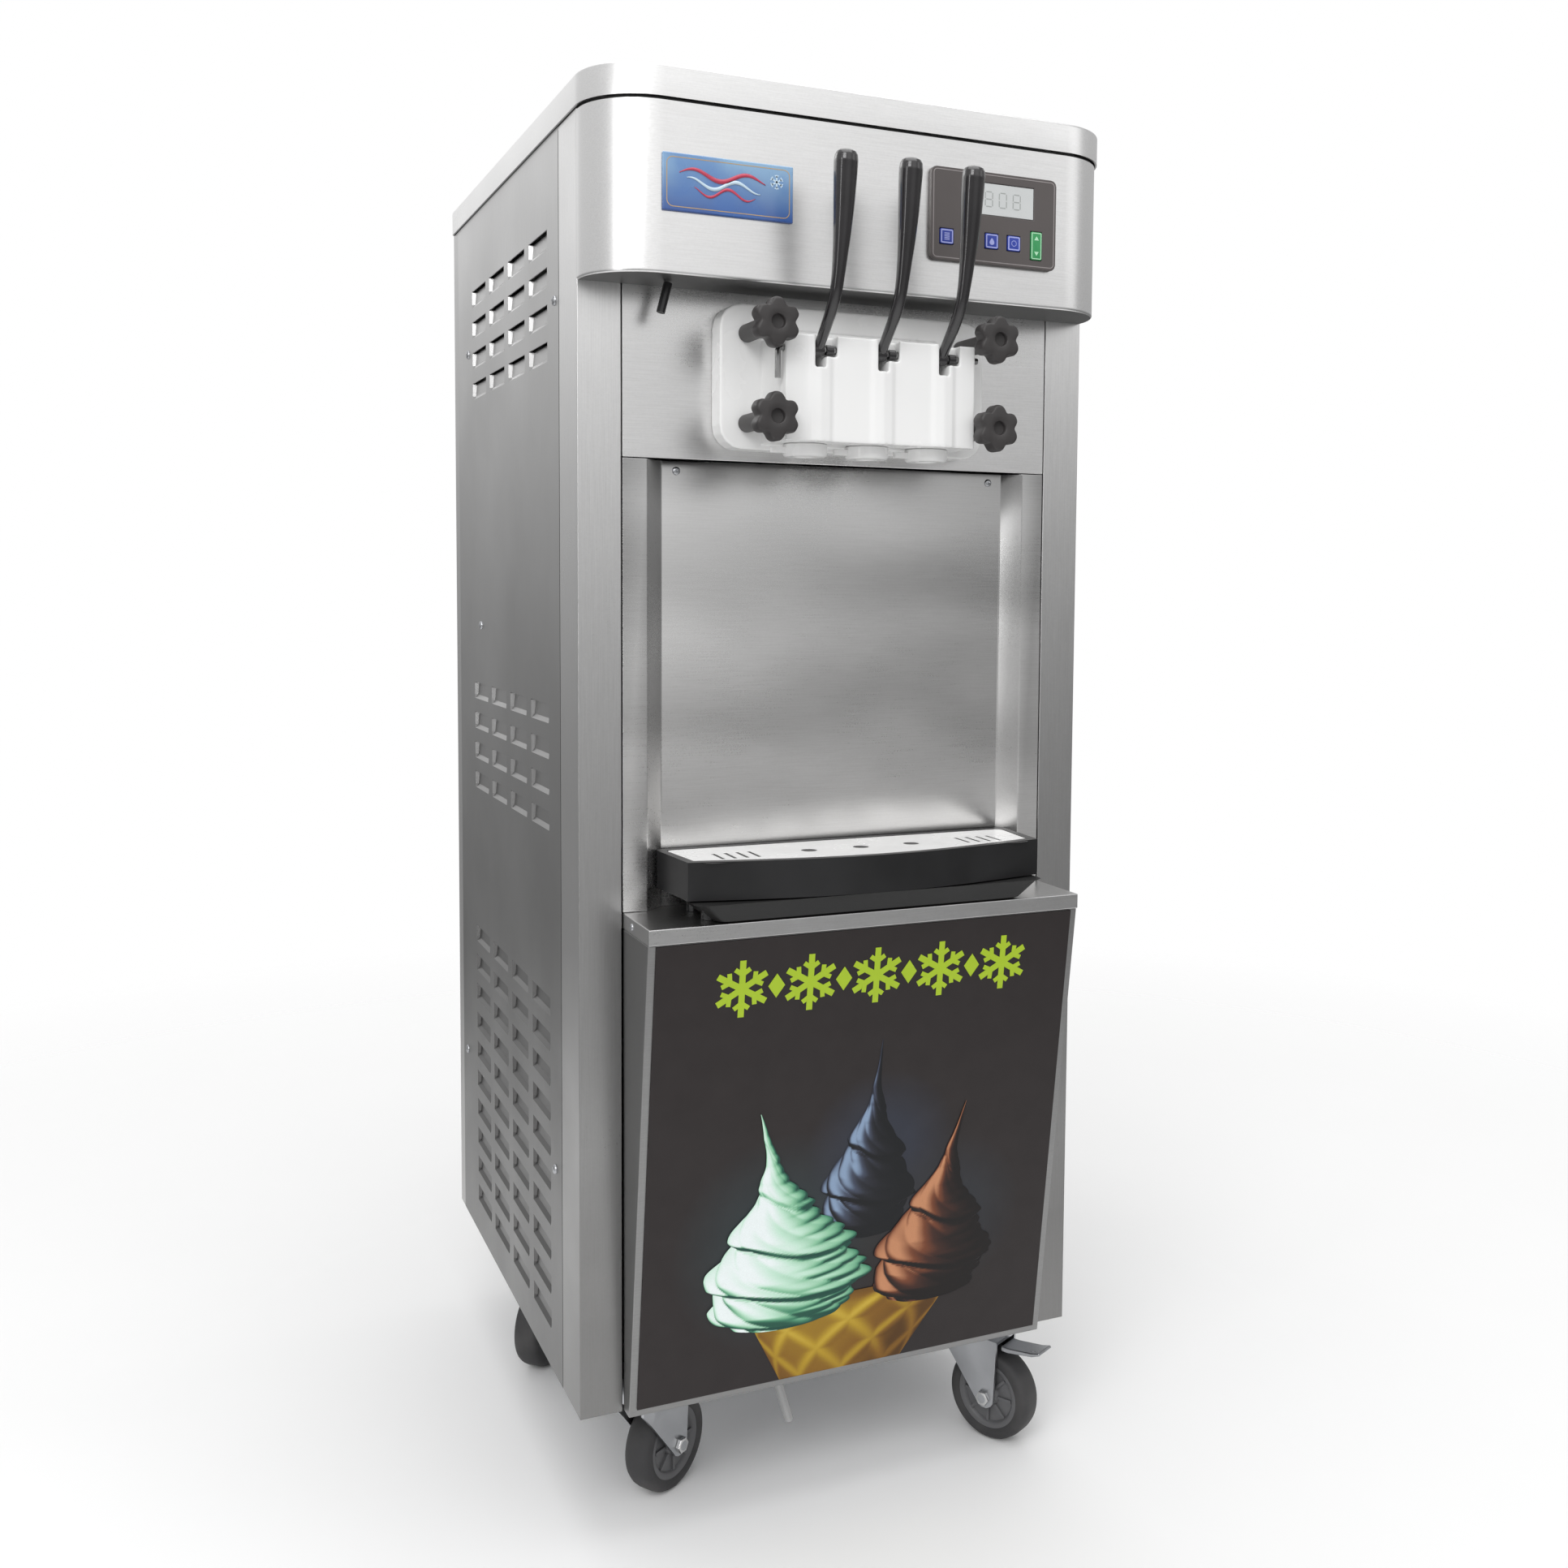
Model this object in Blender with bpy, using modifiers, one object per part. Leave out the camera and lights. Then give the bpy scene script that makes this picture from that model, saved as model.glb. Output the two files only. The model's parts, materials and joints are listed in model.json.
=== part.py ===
"""A floor-standing soft-serve ice cream maker on casters, built as separate parts.

Metres, +Z up, the front faces -Y. The origin is on the floor at the middle of the footprint.
Depths are counted from the plane of the front corner posts, FRONT_Y.
"""
import math

import bmesh
import bpy
from mathutils import Matrix, Vector

# Driving dimensions of the cabinet.
WIDTH = 0.540
DEPTH = 0.600
FRONT_Y = -0.2298
BASE_Z = 0.135
SHELF_Z = 0.624
SEAM_Z = 1.054
HEADER_Z = 1.213
LID_Z = 1.367
TOP_Z = 1.395
HALF = WIDTH / 2
GROOVE_X = 0.2282
PANEL_X = 0.2272
SHEET = 0.002
GAP = 0.0003
POST_DEPTH = 0.067
REAR_RETURN = 0.0255
FOLD = 0.012
POST_FOLD = 0.014

# Header, shelf and door.
HEADER_OUT = 0.066
HEADER_RADIUS = 0.062
SHELF_OUT = 0.083
SHELF_LIP = 0.015
DOOR_TOP_OUT = 0.0805
DOOR_FOOT_OUT = 0.018
DOOR_RIM = 0.0075
RECESS_X = 0.185
RECESS_STRIP_X = 0.203
RECESS_DEPTH = 0.015

# Dispensing head and its levers.
SPOUT_PITCH = 0.064
SPOUT_OUT = 0.050
PLATE_HALF = 0.140
PLATE_LOW = 1.064
PLATE_HIGH = 1.200
PLATE_OUT = 0.025
BLOCK_HALF = 0.098
BLOCK_LOW = 1.069
BLOCK_HIGH = 1.166
BLOCK_OUT = 0.0855
COLUMN_RADIUS = 0.034
BORE_RADIUS = 0.0138
PIVOT_OUT = 0.079
PIVOT_Z = 1.1535
ROD_RADIUS = 0.003
KNOB_X = 0.114
KNOB_Z = (1.088, 1.172)
KNOB_FACE_OUT = 0.1085
KNOB_BACK_OUT = 0.0895

# Drip tray.
TRAY_HALF = 0.192
TRAY_LOW = 0.645
TRAY_HIGH = 0.681
TRAY_CORNER_OUT = 0.070
TRAY_BOW = 0.027
TRAY_BACK = 0.012

# Freezing cylinders and hopper.
BARREL_X = 0.066
BARREL_Z = 1.128
BARREL_RADIUS = 0.054
BARREL_BORE = 0.048
BARREL_BACK = 0.345
WELL_X = (0.012, 0.205)
WELL_Y = (0.120, 0.500)
WELL_LOW = 1.205

# Casters: name, side, depth behind the front, heading of the trail in degrees, brake.
WHEEL_RADIUS = 0.050
WHEEL_STEPS = 24
AXLE_Z = WHEEL_RADIUS * math.cos(math.pi / WHEEL_STEPS)
TRAIL = 0.035
CROWN_Z = 0.1152
PLATE_LOW_Z = BASE_Z - 0.0038
SWIVEL_RADIUS = 0.022
AXLE_HALF = 0.0255
CASTER_X = 0.188
CASTERS = (
    ("front_left", -CASTER_X, 0.065, 34, True),
    ("front_right", CASTER_X, 0.065, -62, True),
    ("rear_left", -CASTER_X, 0.420, -132, False),
    ("rear_right", CASTER_X, 0.420, -60, False),
)

SIDES = (("left", -1), ("right", 1))
SPOUTS = (("left", -SPOUT_PITCH), ("middle", 0.0), ("right", SPOUT_PITCH))

# Colour, roughness and metallic value of each finish.
FINISHES = {
    "steel_bright": ((0.78, 0.78, 0.78, 1), 0.28, 1.0),
    "steel_satin": ((0.52, 0.51, 0.51, 1), 0.38, 1.0),
    "zinc": ((0.60, 0.60, 0.62, 1), 0.35, 1.0),
    "white_plastic": ((0.88, 0.88, 0.88, 1), 0.25, 0.0),
    "black_gloss": ((0.025, 0.025, 0.028, 1), 0.15, 0.0),
    "black_matte": ((0.03, 0.03, 0.032, 1), 0.5, 0.0),
    "knob_grey": ((0.09, 0.085, 0.085, 1), 0.55, 0.0),
    "rubber": ((0.02, 0.02, 0.02, 1), 0.7, 0.0),
    "graphic": ((0.045, 0.036, 0.034, 1), 0.35, 0.0),
    "panel_brown": ((0.10, 0.085, 0.078, 1), 0.4, 0.0),
    "key_blue": ((0.03, 0.08, 0.55, 1), 0.4, 0.0),
    "key_green": ((0.05, 0.45, 0.12, 1), 0.4, 0.0),
    "emblem_blue": ((0.02, 0.10, 0.42, 1), 0.3, 0.0),
    "display": ((0.62, 0.64, 0.62, 1), 0.15, 0.0),
    "cast_grey": ((0.20, 0.21, 0.22, 1), 0.6, 0.3),
    "compressor_black": ((0.02, 0.02, 0.02, 1), 0.4, 0.2),
    "hose_grey": ((0.35, 0.35, 0.35, 1), 0.5, 0.0),
}


def clear_scene():
    for item in list(bpy.data.objects):
        bpy.data.objects.remove(item)


def make_materials():
    for name, (colour, roughness, metallic) in FINISHES.items():
        material = bpy.data.materials.new(name)
        material.use_nodes = True
        shader = material.node_tree.nodes["Principled BSDF"]
        shader.inputs["Base Color"].default_value = colour
        shader.inputs["Roughness"].default_value = roughness
        shader.inputs["Metallic"].default_value = metallic
        material.diffuse_color = colour


clear_scene()
make_materials()
PARTS = bpy.data.collections.new("ice_cream_maker")
CUTTERS = bpy.data.collections.new("cutters")
bpy.context.scene.collection.children.link(PARTS)
bpy.context.scene.collection.children.link(CUTTERS)


def depth(offset):
    """World Y of a depth counted backwards from the corner posts."""
    return FRONT_Y + offset


def add_object(name, mesh, finish, origin=(0, 0, 0), turn=0.0):
    """Link a mesh given in local axes; no finish makes it a hidden guide."""
    item = bpy.data.objects.new(name, mesh)
    item.location = origin
    item.rotation_euler = (0, 0, turn)
    if finish is None:
        item.hide_render = True
        item.display_type = "WIRE"
        CUTTERS.objects.link(item)
    else:
        mesh.materials.append(bpy.data.materials[finish])
        PARTS.objects.link(item)
    return item


def from_bmesh(name, bm, finish, origin=(0, 0, 0), turn=0.0):
    mesh = bpy.data.meshes.new(name)
    bm.to_mesh(mesh)
    bm.free()
    return add_object(name, mesh, finish, origin, turn)


def smooth(item, angle=35):
    item.data.shade_smooth()
    item.data.set_sharp_from_angle(angle=math.radians(angle))
    return item


def fill_box(bm, low, high):
    low, high = Vector(low), Vector(high)
    size = Matrix.Diagonal((*(high - low), 1))
    bmesh.ops.create_cube(bm, size=1, matrix=Matrix.Translation((low + high) / 2) @ size)


def box(name, low, high, finish, origin=(0, 0, 0), turn=0.0, bevel=0.0, local=False):
    """A box between two world corners, or with local between two corners counted from its origin."""
    shift = Vector() if local else Vector(origin)
    bm = bmesh.new()
    fill_box(bm, Vector(low) - shift, Vector(high) - shift)
    item = from_bmesh(name, bm, finish, origin, turn)
    if bevel:
        soften(item, bevel)
    return item


def boxes(name, corners):
    """One hidden cutter made of many separate boxes."""
    bm = bmesh.new()
    for low, high in corners:
        fill_box(bm, low, high)
    return from_bmesh(name, bm, None)


def fill_rod(bm, start, end, radius, segments=24, end_radius=None):
    start, end = Vector(start), Vector(end)
    aim = (end - start).to_track_quat("Z", "Y").to_matrix().to_4x4()
    bmesh.ops.create_cone(
        bm, cap_ends=True, segments=segments, radius1=radius,
        radius2=radius if end_radius is None else end_radius, depth=(end - start).length,
        matrix=Matrix.Translation((start + end) / 2) @ aim)


def rod(name, start, end, radius, finish, segments=24, origin=(0, 0, 0), turn=0.0, local=False):
    shift = Vector() if local else Vector(origin)
    bm = bmesh.new()
    fill_rod(bm, Vector(start) - shift, Vector(end) - shift, radius, segments)
    return smooth(from_bmesh(name, bm, finish, origin, turn))


def rods(name, ends, radius, segments=20):
    """One hidden cutter made of many separate rods."""
    bm = bmesh.new()
    for start, end in ends:
        fill_rod(bm, start, end, radius, segments)
    return from_bmesh(name, bm, None)


def soften(item, width, segments=1, angle=40):
    bevel = item.modifiers.new("round", "BEVEL")
    bevel.width = width
    bevel.segments = segments
    bevel.limit_method = "ANGLE"
    bevel.angle_limit = math.radians(angle)
    return item


def boolean(item, other, operation):
    step = item.modifiers.new(operation.lower(), "BOOLEAN")
    step.operation = operation
    step.object = other
    step.solver = "EXACT"
    return item


def cut(item, other):
    return boolean(item, other, "DIFFERENCE")


def join(item, other):
    return boolean(item, other, "UNION")


AXES = {
    "X": Matrix(((0, 0, 1), (1, 0, 0), (0, 1, 0))),
    "Y": Matrix(((1, 0, 0), (0, 0, -1), (0, 1, 0))),
    "Z": Matrix.Identity(3),
}


def curve_to_mesh(name, curve):
    """Mesh of a curve, with its caps welded on."""
    holder = bpy.data.objects.new(name, curve)
    bpy.context.scene.collection.objects.link(holder)
    evaluated = holder.evaluated_get(bpy.context.evaluated_depsgraph_get())
    mesh = bpy.data.meshes.new_from_object(evaluated)
    bpy.data.objects.remove(holder)
    bm = bmesh.new()
    bm.from_mesh(mesh)
    bmesh.ops.remove_doubles(bm, verts=bm.verts, dist=0.00001)
    bm.to_mesh(mesh)
    bm.free()
    return mesh


def plate(name, outline, thickness, centre, normal, finish, origin=None, turn=0.0):
    """A flat outline of (u, v) points, given a thickness along its normal.

    u and v run along X and Y for a Z normal, X and Z for a Y normal, Y and Z for an X normal.
    """
    curve = bpy.data.curves.new(name, "CURVE")
    curve.dimensions = "2D"
    curve.fill_mode = "BOTH"
    curve.extrude = thickness / 2
    spline = curve.splines.new("POLY")
    spline.points.add(len(outline) - 1)
    for point, (u, v) in zip(spline.points, outline):
        point.co = (u, v, 0, 1)
    spline.use_cyclic_u = True
    mesh = curve_to_mesh(name, curve)
    mesh.transform(AXES[normal].to_4x4())
    place = Vector(centre)
    if origin is not None:
        mesh.transform(Matrix.Translation(place - Vector(origin)))
        place = Vector(origin)
    return smooth(add_object(name, mesh, finish, place, turn))


def arc(cx, cy, radius, start, end, steps):
    """Points on a circle from one angle to another, in degrees."""
    turns = [math.radians(start + (end - start) * i / steps) for i in range(steps + 1)]
    return [(cx + radius * math.cos(t), cy + radius * math.sin(t)) for t in turns]


def rounded_rectangle(low, high, radius, steps=4):
    (x0, y0), (x1, y1) = low, high
    r = radius
    return (arc(x1 - r, y1 - r, r, 0, 90, steps) + arc(x0 + r, y1 - r, r, 90, 180, steps)
            + arc(x0 + r, y0 + r, r, 180, 270, steps) + arc(x1 - r, y0 + r, r, 270, 360, steps))


def sheet(name, path, low, high, finish, thickness=SHEET):
    """A folded vertical sheet: the path is its outer skin, which lies to the right of the path."""
    bm = bmesh.new()
    rows = [[bm.verts.new((x, depth(y), z)) for x, y in path] for z in (low, high)]
    for i in range(len(path) - 1):
        bm.faces.new((rows[0][i], rows[0][i + 1], rows[1][i + 1], rows[1][i]))
    item = from_bmesh(name, bm, finish)
    solid = item.modifiers.new("sheet", "SOLIDIFY")
    solid.thickness = thickness
    solid.offset = -1
    solid.use_even_offset = True
    return item


def turned(name, profile, finish, centre, axis="Z", steps=24, start=0.0, turn=0.0, closed=False):
    """A turned solid from (radius, height) points that run down its outer side."""
    bm = bmesh.new()
    points = [bm.verts.new((radius, 0, height)) for radius, height in profile]
    for first, second in zip(points, points[1:] + (points[:1] if closed else [])):
        bm.edges.new((first, second))
    bm.transform(Matrix.Rotation(start, 4, "Z"))
    item = from_bmesh(name, bm, finish, centre, turn)
    spin = item.modifiers.new("turn", "SCREW")
    spin.axis = "Z"
    spin.steps = spin.render_steps = steps
    spin.use_merge_vertices = True
    spin.merge_threshold = 0.00001
    if axis == "Z":
        return item
    evaluated = item.evaluated_get(bpy.context.evaluated_depsgraph_get())
    mesh = bpy.data.meshes.new_from_object(evaluated)
    mesh.transform(AXES[axis].to_4x4())
    bpy.data.objects.remove(item)
    mesh.materials.clear()
    return smooth(add_object(name, mesh, finish, centre, turn))


def tube(name, points, radius, finish, origin=(0, 0, 0), scales=None, resolution=2):
    """A bent bar along a list of points; scales swell it point by point."""
    curve = bpy.data.curves.new(name, "CURVE")
    curve.dimensions = "3D"
    curve.bevel_depth = radius
    curve.bevel_resolution = resolution
    curve.use_fill_caps = True
    spline = curve.splines.new("POLY")
    spline.points.add(len(points) - 1)
    for i, (point, place) in enumerate(zip(spline.points, points)):
        point.co = (*(Vector(place) - Vector(origin)), 1)
        point.radius = scales[i] if scales else 1
    mesh = curve_to_mesh(name, curve)
    return smooth(add_object(name, mesh, finish, origin))


# Casing

def louvre_slots(sign):
    """Four columns of slots in three groups, on one side panel."""
    columns = [0.152 + 0.0985 * i for i in range(4)]
    rows = [1.275 - 0.036 * i for i in range(4)]
    rows += [0.811 - 0.036 * i for i in range(4)]
    rows += [0.514 - 0.036 * i for i in range(10)]
    x = sorted((sign * (HALF - 0.01), sign * (HALF + 0.01)))
    half_long, half_high = 0.037, 0.004
    return [((x[0], depth(y - half_long), z - half_high), (x[1], depth(y + half_long), z + half_high))
            for y in columns for z in rows]


def corner_posts():
    top = LID_Z - GAP
    left = [(-HALF, POST_DEPTH), (-HALF, 0), (-GROOVE_X, 0), (-GROOVE_X, POST_FOLD)]
    sheet("corner_post_left", left, BASE_Z, top, "steel_satin")
    right = [(-x, y) for x, y in reversed(left)]
    sheet("corner_post_right", right, BASE_Z, top, "steel_satin")


def side_panels():
    near, far = POST_DEPTH + GAP, DEPTH - REAR_RETURN - GAP
    left = [(-HALF + FOLD, far), (-HALF, far), (-HALF, near), (-HALF + FOLD, near)]
    right = [(-x, y) for x, y in reversed(left)]
    for (side, sign), path in zip(SIDES, (left, right)):
        panel = sheet(f"side_panel_{side}", path, BASE_Z, LID_Z - GAP, "steel_satin")
        cut(panel, boxes(f"louvre_cutter_{side}", louvre_slots(sign)))


def rear_panel():
    path = [(HALF, DEPTH - REAR_RETURN), (HALF, DEPTH), (-HALF, DEPTH), (-HALF, DEPTH - REAR_RETURN)]
    panel = sheet("rear_panel", path, BASE_Z, LID_Z - GAP, "steel_satin")
    slots = [((x - 0.055, depth(DEPTH - 0.01), z), (x + 0.055, depth(DEPTH + 0.01), z + 0.009))
             for x in (-0.13, 0, 0.13) for z in [0.30 + 0.034 * i for i in range(6)]]
    cut(panel, boxes("rear_vent_cutter", slots))
    gland_at = (-0.16, 0.20)
    gland = rod("gland_guide", (gland_at[0], depth(DEPTH - 0.001), gland_at[1]),
                (gland_at[0], depth(DEPTH + 0.011), gland_at[1]), 0.010, None, 16)
    join(panel, gland)


def cover_outline(grow, back):
    """The plan of the cover: two large front corners and two small rear ones."""
    x, front, radius = HALF + grow, depth(-HEADER_OUT - grow), HEADER_RADIUS + grow
    corner = 0.006
    return (arc(x - corner, back - corner, corner, 0, 90, 2)
            + arc(-x + corner, back - corner, corner, 90, 180, 2)
            + arc(-x + radius, front + radius, radius, 180, 270, 8)
            + arc(x - radius, front + radius, radius, 270, 360, 8))


def top_cover():
    overhang, wall = 0.0025, 0.004
    height = TOP_Z - LID_Z
    middle = (LID_Z + TOP_Z) / 2
    cover = plate("top_cover", cover_outline(overhang, depth(DEPTH + overhang)), height, (0, 0, middle),
                  "Z", "steel_bright")
    hollow = plate("cover_hollow_cutter", cover_outline(overhang - wall, depth(DEPTH - 0.0015)), height,
                   (0, 0, middle - SHEET), "Z", None)
    cut(cover, hollow)
    opening = box("hopper_opening_cutter", (-WELL_X[1] - 0.001, depth(WELL_Y[0] - 0.001), TOP_Z - 0.01),
                  (WELL_X[1] + 0.001, depth(WELL_Y[1] + 0.001), TOP_Z + 0.01), None)
    cut(cover, opening)


def header_outline(inset, back):
    x, front, radius = HALF - inset, depth(-HEADER_OUT + inset), HEADER_RADIUS - inset
    return ([(x, back), (-x, back)] + arc(-x + radius, front + radius, radius, 180, 270, 8)
            + arc(x - radius, front + radius, radius, 270, 360, 8))


def header_cover():
    top = LID_Z - GAP
    middle = (top + HEADER_Z) / 2
    cover = plate("header_cover", header_outline(0, depth(-GAP)), top - HEADER_Z, (0, 0, middle), "Z",
                  "steel_bright")
    hollow = plate("header_hollow_cutter", header_outline(SHEET, depth(0.01)), top - HEADER_Z,
                   (0, 0, middle + SHEET), "Z", None)
    cut(cover, hollow)
    peg = [(-0.1925, depth(-0.030), HEADER_Z - 0.0015), (-0.200, depth(-0.031), 1.184)]
    tube("breather_peg", peg, 0.004, "black_matte", resolution=3)


def fixed_front():
    path = [(-PANEL_X, FOLD), (-PANEL_X, 0), (PANEL_X, 0), (PANEL_X, FOLD)]
    upper = sheet("upper_front_panel", path, SEAM_Z + GAP, LID_Z - GAP, "steel_bright")
    opening = ((-0.120, depth(-0.01), 1.078), (0.120, depth(0.01), 1.180))
    cut(upper, box("barrel_opening_cutter", *opening, None))
    cut(upper, stud_rods("panel_stud_cutter", 0.0045, -0.01, 0.01))
    path = [(-PANEL_X, FOLD), (-PANEL_X, 0), (-RECESS_STRIP_X, 0), (-RECESS_X, RECESS_DEPTH),
            (RECESS_X, RECESS_DEPTH), (RECESS_STRIP_X, 0), (PANEL_X, 0), (PANEL_X, FOLD)]
    sheet("splash_panel", path, SHELF_Z + GAP, SEAM_Z - GAP, "steel_bright")


def shelf():
    low = SHELF_Z - SHELF_LIP
    cap = box("shelf_cap", (-PANEL_X, depth(-SHELF_OUT), low), (PANEL_X, depth(0.030), SHELF_Z),
              "steel_bright")
    cut(cap, box("shelf_hollow_cutter", (-PANEL_X + SHEET, depth(-SHELF_OUT + SHEET), low - 0.01),
                 (PANEL_X - SHEET, depth(0.040), SHELF_Z - SHEET), None))


def door():
    """A steel box that is deeper at the shelf than at the floor, and the dark panel on its front."""
    top, foot = SHELF_Z - SHELF_LIP - GAP, BASE_Z + 0.002
    bm = bmesh.new()
    corners = []
    for z, out in ((foot, DOOR_FOOT_OUT), (top, DOOR_TOP_OUT)):
        plan = ((-PANEL_X, -GAP), (-PANEL_X, -out), (PANEL_X, -out), (PANEL_X, -GAP))
        corners.append([bm.verts.new((x, depth(y), z)) for x, y in plan])
    for i in range(3):
        bm.faces.new((corners[0][i], corners[0][i + 1], corners[1][i + 1], corners[1][i]))
    bm.faces.new(reversed(corners[0]))
    panel = from_bmesh("lower_front_panel", bm, "steel_satin")
    solid = panel.modifiers.new("sheet", "SOLIDIFY")
    solid.thickness, solid.offset, solid.use_even_offset = SHEET, -1, True

    lean = math.atan2(DOOR_TOP_OUT - DOOR_FOOT_OUT, top - foot)
    thickness = 0.0015
    low, high = foot + DOOR_RIM, top - 0.001
    half_wide, half_high = PANEL_X - DOOR_RIM, (high - low) / 2 / math.cos(lean)
    share = ((low + high) / 2 - foot) / (top - foot)
    out = DOOR_FOOT_OUT + share * (DOOR_TOP_OUT - DOOR_FOOT_OUT) + (thickness / 2 + GAP) / math.cos(lean)
    graphic = box("graphic_panel", (-half_wide, -thickness / 2, -half_high),
                  (half_wide, thickness / 2, half_high), "graphic")
    graphic.location = (0, depth(-out), (low + high) / 2)
    graphic.rotation_euler = (lean, 0, 0)


def base():
    """The base pan, with the four caster plates welded under it."""
    x, floor = HALF - FOLD - 0.0005, BASE_Z + 0.002
    front, back = depth(POST_FOLD + 0.0005), depth(DEPTH - SHEET - GAP)
    pan = box("base_pan", (-x, front, BASE_Z), (x, back, 0.160), "zinc")
    hollow = ((-x + SHEET, front + SHEET, floor), (x - SHEET, back - SHEET, 0.2))
    cut(pan, box("pan_hollow_cutter", *hollow, None))
    for name, cx, offset, _, _ in CASTERS:
        cy = depth(offset)
        join(pan, box(f"caster_plate_guide_{name}", (cx - 0.046, cy - 0.035, PLATE_LOW_Z),
                      (cx + 0.046, cy + 0.035, BASE_Z + 0.0002), None))
    spout_y = depth(0.050)
    spout = [(-0.0555, spout_y, BASE_Z - 0.0020), (-0.0335, spout_y, 0.060)]
    tube("drain_spout", spout, 0.005, "hose_grey", resolution=3)


# Dispensing head

def stud_rods(name, radius, start, end):
    ends = [((x, depth(start), z), (x, depth(end), z)) for x in (-KNOB_X, KNOB_X) for z in KNOB_Z]
    return rods(name, ends, radius, 10)


def dispensing_head():
    outline = rounded_rectangle((-PLATE_HALF, PLATE_LOW), (PLATE_HALF, PLATE_HIGH), 0.022)
    thickness = PLATE_OUT - 0.0005
    head = plate("dispensing_head", outline, thickness, (0, depth(-PLATE_OUT + thickness / 2), 0), "Y",
                 "white_plastic")
    join(head, box("head_block_guide", (-BLOCK_HALF, depth(-BLOCK_OUT), BLOCK_LOW),
                   (BLOCK_HALF, depth(-PLATE_OUT + 0.002), BLOCK_HIGH), None))
    centre = COLUMN_RADIUS - 0.0885
    for side, x in SPOUTS:
        foot, crown = (x, depth(centre), BLOCK_LOW), (x, depth(centre), BLOCK_HIGH)
        join(head, rod(f"head_column_guide_{side}", foot, crown, COLUMN_RADIUS, None, 24))
    bores = [((x, depth(-SPOUT_OUT), BLOCK_LOW - 0.01), (x, depth(-SPOUT_OUT), BLOCK_HIGH + 0.01))
             for _, x in SPOUTS]
    cut(head, rods("plunger_bore_cutter", bores, BORE_RADIUS, 16))
    top = BLOCK_HIGH + 0.01
    slots, pockets = [], []
    for _, x in SPOUTS:
        slots.append(((x - 0.0054, depth(-0.1), 1.137), (x + 0.0054, depth(-SPOUT_OUT), top)))
        pockets.append(((x + 0.003, depth(-0.1), 1.147), (x + 0.0175, depth(-PIVOT_OUT + 0.005), top)))
    cut(head, boxes("lever_slot_cutter", slots))
    cut(head, boxes("rod_pocket_cutter", pockets))
    pivot_ends = ((-0.12, depth(-PIVOT_OUT), PIVOT_Z), (0.12, depth(-PIVOT_OUT), PIVOT_Z))
    cut(head, rods("rod_bore_cutter", [pivot_ends], ROD_RADIUS + 0.0004, 8))
    cut(head, stud_rods("head_stud_cutter", 0.0045, -0.04, 0.01))
    port_y = (depth(-SPOUT_OUT), depth(0.001))
    ports = [((-SPOUT_PITCH, port_y[0], 1.096), (-SPOUT_PITCH, port_y[1], 1.096)),
             ((SPOUT_PITCH, port_y[0], 1.096), (SPOUT_PITCH, port_y[1], 1.096))]
    cut(head, rods("mix_port_cutter", ports, 0.006, 8))
    twist_port = ((-0.030, depth(-SPOUT_OUT + 0.006), 1.091), (0.030, depth(0.001), 1.101))
    cut(head, box("twist_port_cutter", *twist_port, None))


def lever(side, x):
    """A draw lever: a bent, tapered handle, and an arm that reaches into the plunger."""
    pivot = Vector((x, depth(-PIVOT_OUT), PIVOT_Z))
    rise = [(0.0815, 1.1560, 0.0046), (0.094, 1.168, 0.0052), (0.112, 1.187, 0.0056), (0.122, 1.203, 0.0058),
            (0.1275, 1.222, 0.0064), (0.134, 1.255, 0.0084), (0.139, 1.290, 0.0104), (0.1405, 1.311, 0.0109),
            (0.1411, 1.3165, 0.0102), (0.1415, 1.3195, 0.0078), (0.1417, 1.3207, 0.0040)]
    points = [(x, depth(-out), z) for out, z, _ in rise]
    item = tube(f"lever_{side}", points, 0.001, "black_gloss", origin=pivot,
                scales=[radius * 1000 for _, _, radius in rise])
    half = 0.0046
    join(item, rod(f"lever_boss_guide_{side}", pivot - Vector((half, 0, 0)), pivot + Vector((half, 0, 0)),
                   0.0066, None, 12))
    arm_end = depth(-SPOUT_OUT - 0.002)
    join(item, box(f"lever_arm_guide_{side}", (x - half + 0.0002, pivot.y, PIVOT_Z - 0.003),
                   (x + half - 0.0002, arm_end, PIVOT_Z + 0.003), None))
    cut(item, rod(f"lever_bore_cutter_{side}", pivot - Vector((0.02, 0, 0)), pivot + Vector((0.02, 0, 0)),
                  ROD_RADIUS + GAP, None, 8))


def plunger(side, x):
    centre = (x, depth(-SPOUT_OUT))
    foot, crown = (*centre, BLOCK_LOW + 0.0015), (*centre, BLOCK_HIGH)
    item = rod(f"plunger_{side}", foot, crown, BORE_RADIUS - 0.0004, "white_plastic", 16, origin=foot)
    cut(item, box(f"plunger_groove_cutter_{side}", (x - 0.0062, centre[1] - 0.02, PIVOT_Z - 0.0125),
                  (x + 0.0062, centre[1] + 0.004, PIVOT_Z + 0.0055), None))


def nozzle(side, x):
    y = depth(-SPOUT_OUT)
    low, high, middle = 1.0568, BLOCK_LOW - GAP, 1.0628
    half = (high - low) / 2
    profile = [(0.009, half), (0.021, half), (0.021, -half + 0.002), (0.019, -half), (0.009, -half)]
    item = turned(f"nozzle_{side}", profile, "white_plastic", (x, y, low + half), steps=20, closed=True)
    join(item, box(f"nozzle_tab_guide_{side}", (x - 0.035, y - 0.003, middle - 0.003),
                   (x - 0.0195, y + 0.003, middle + 0.003), None))


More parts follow.
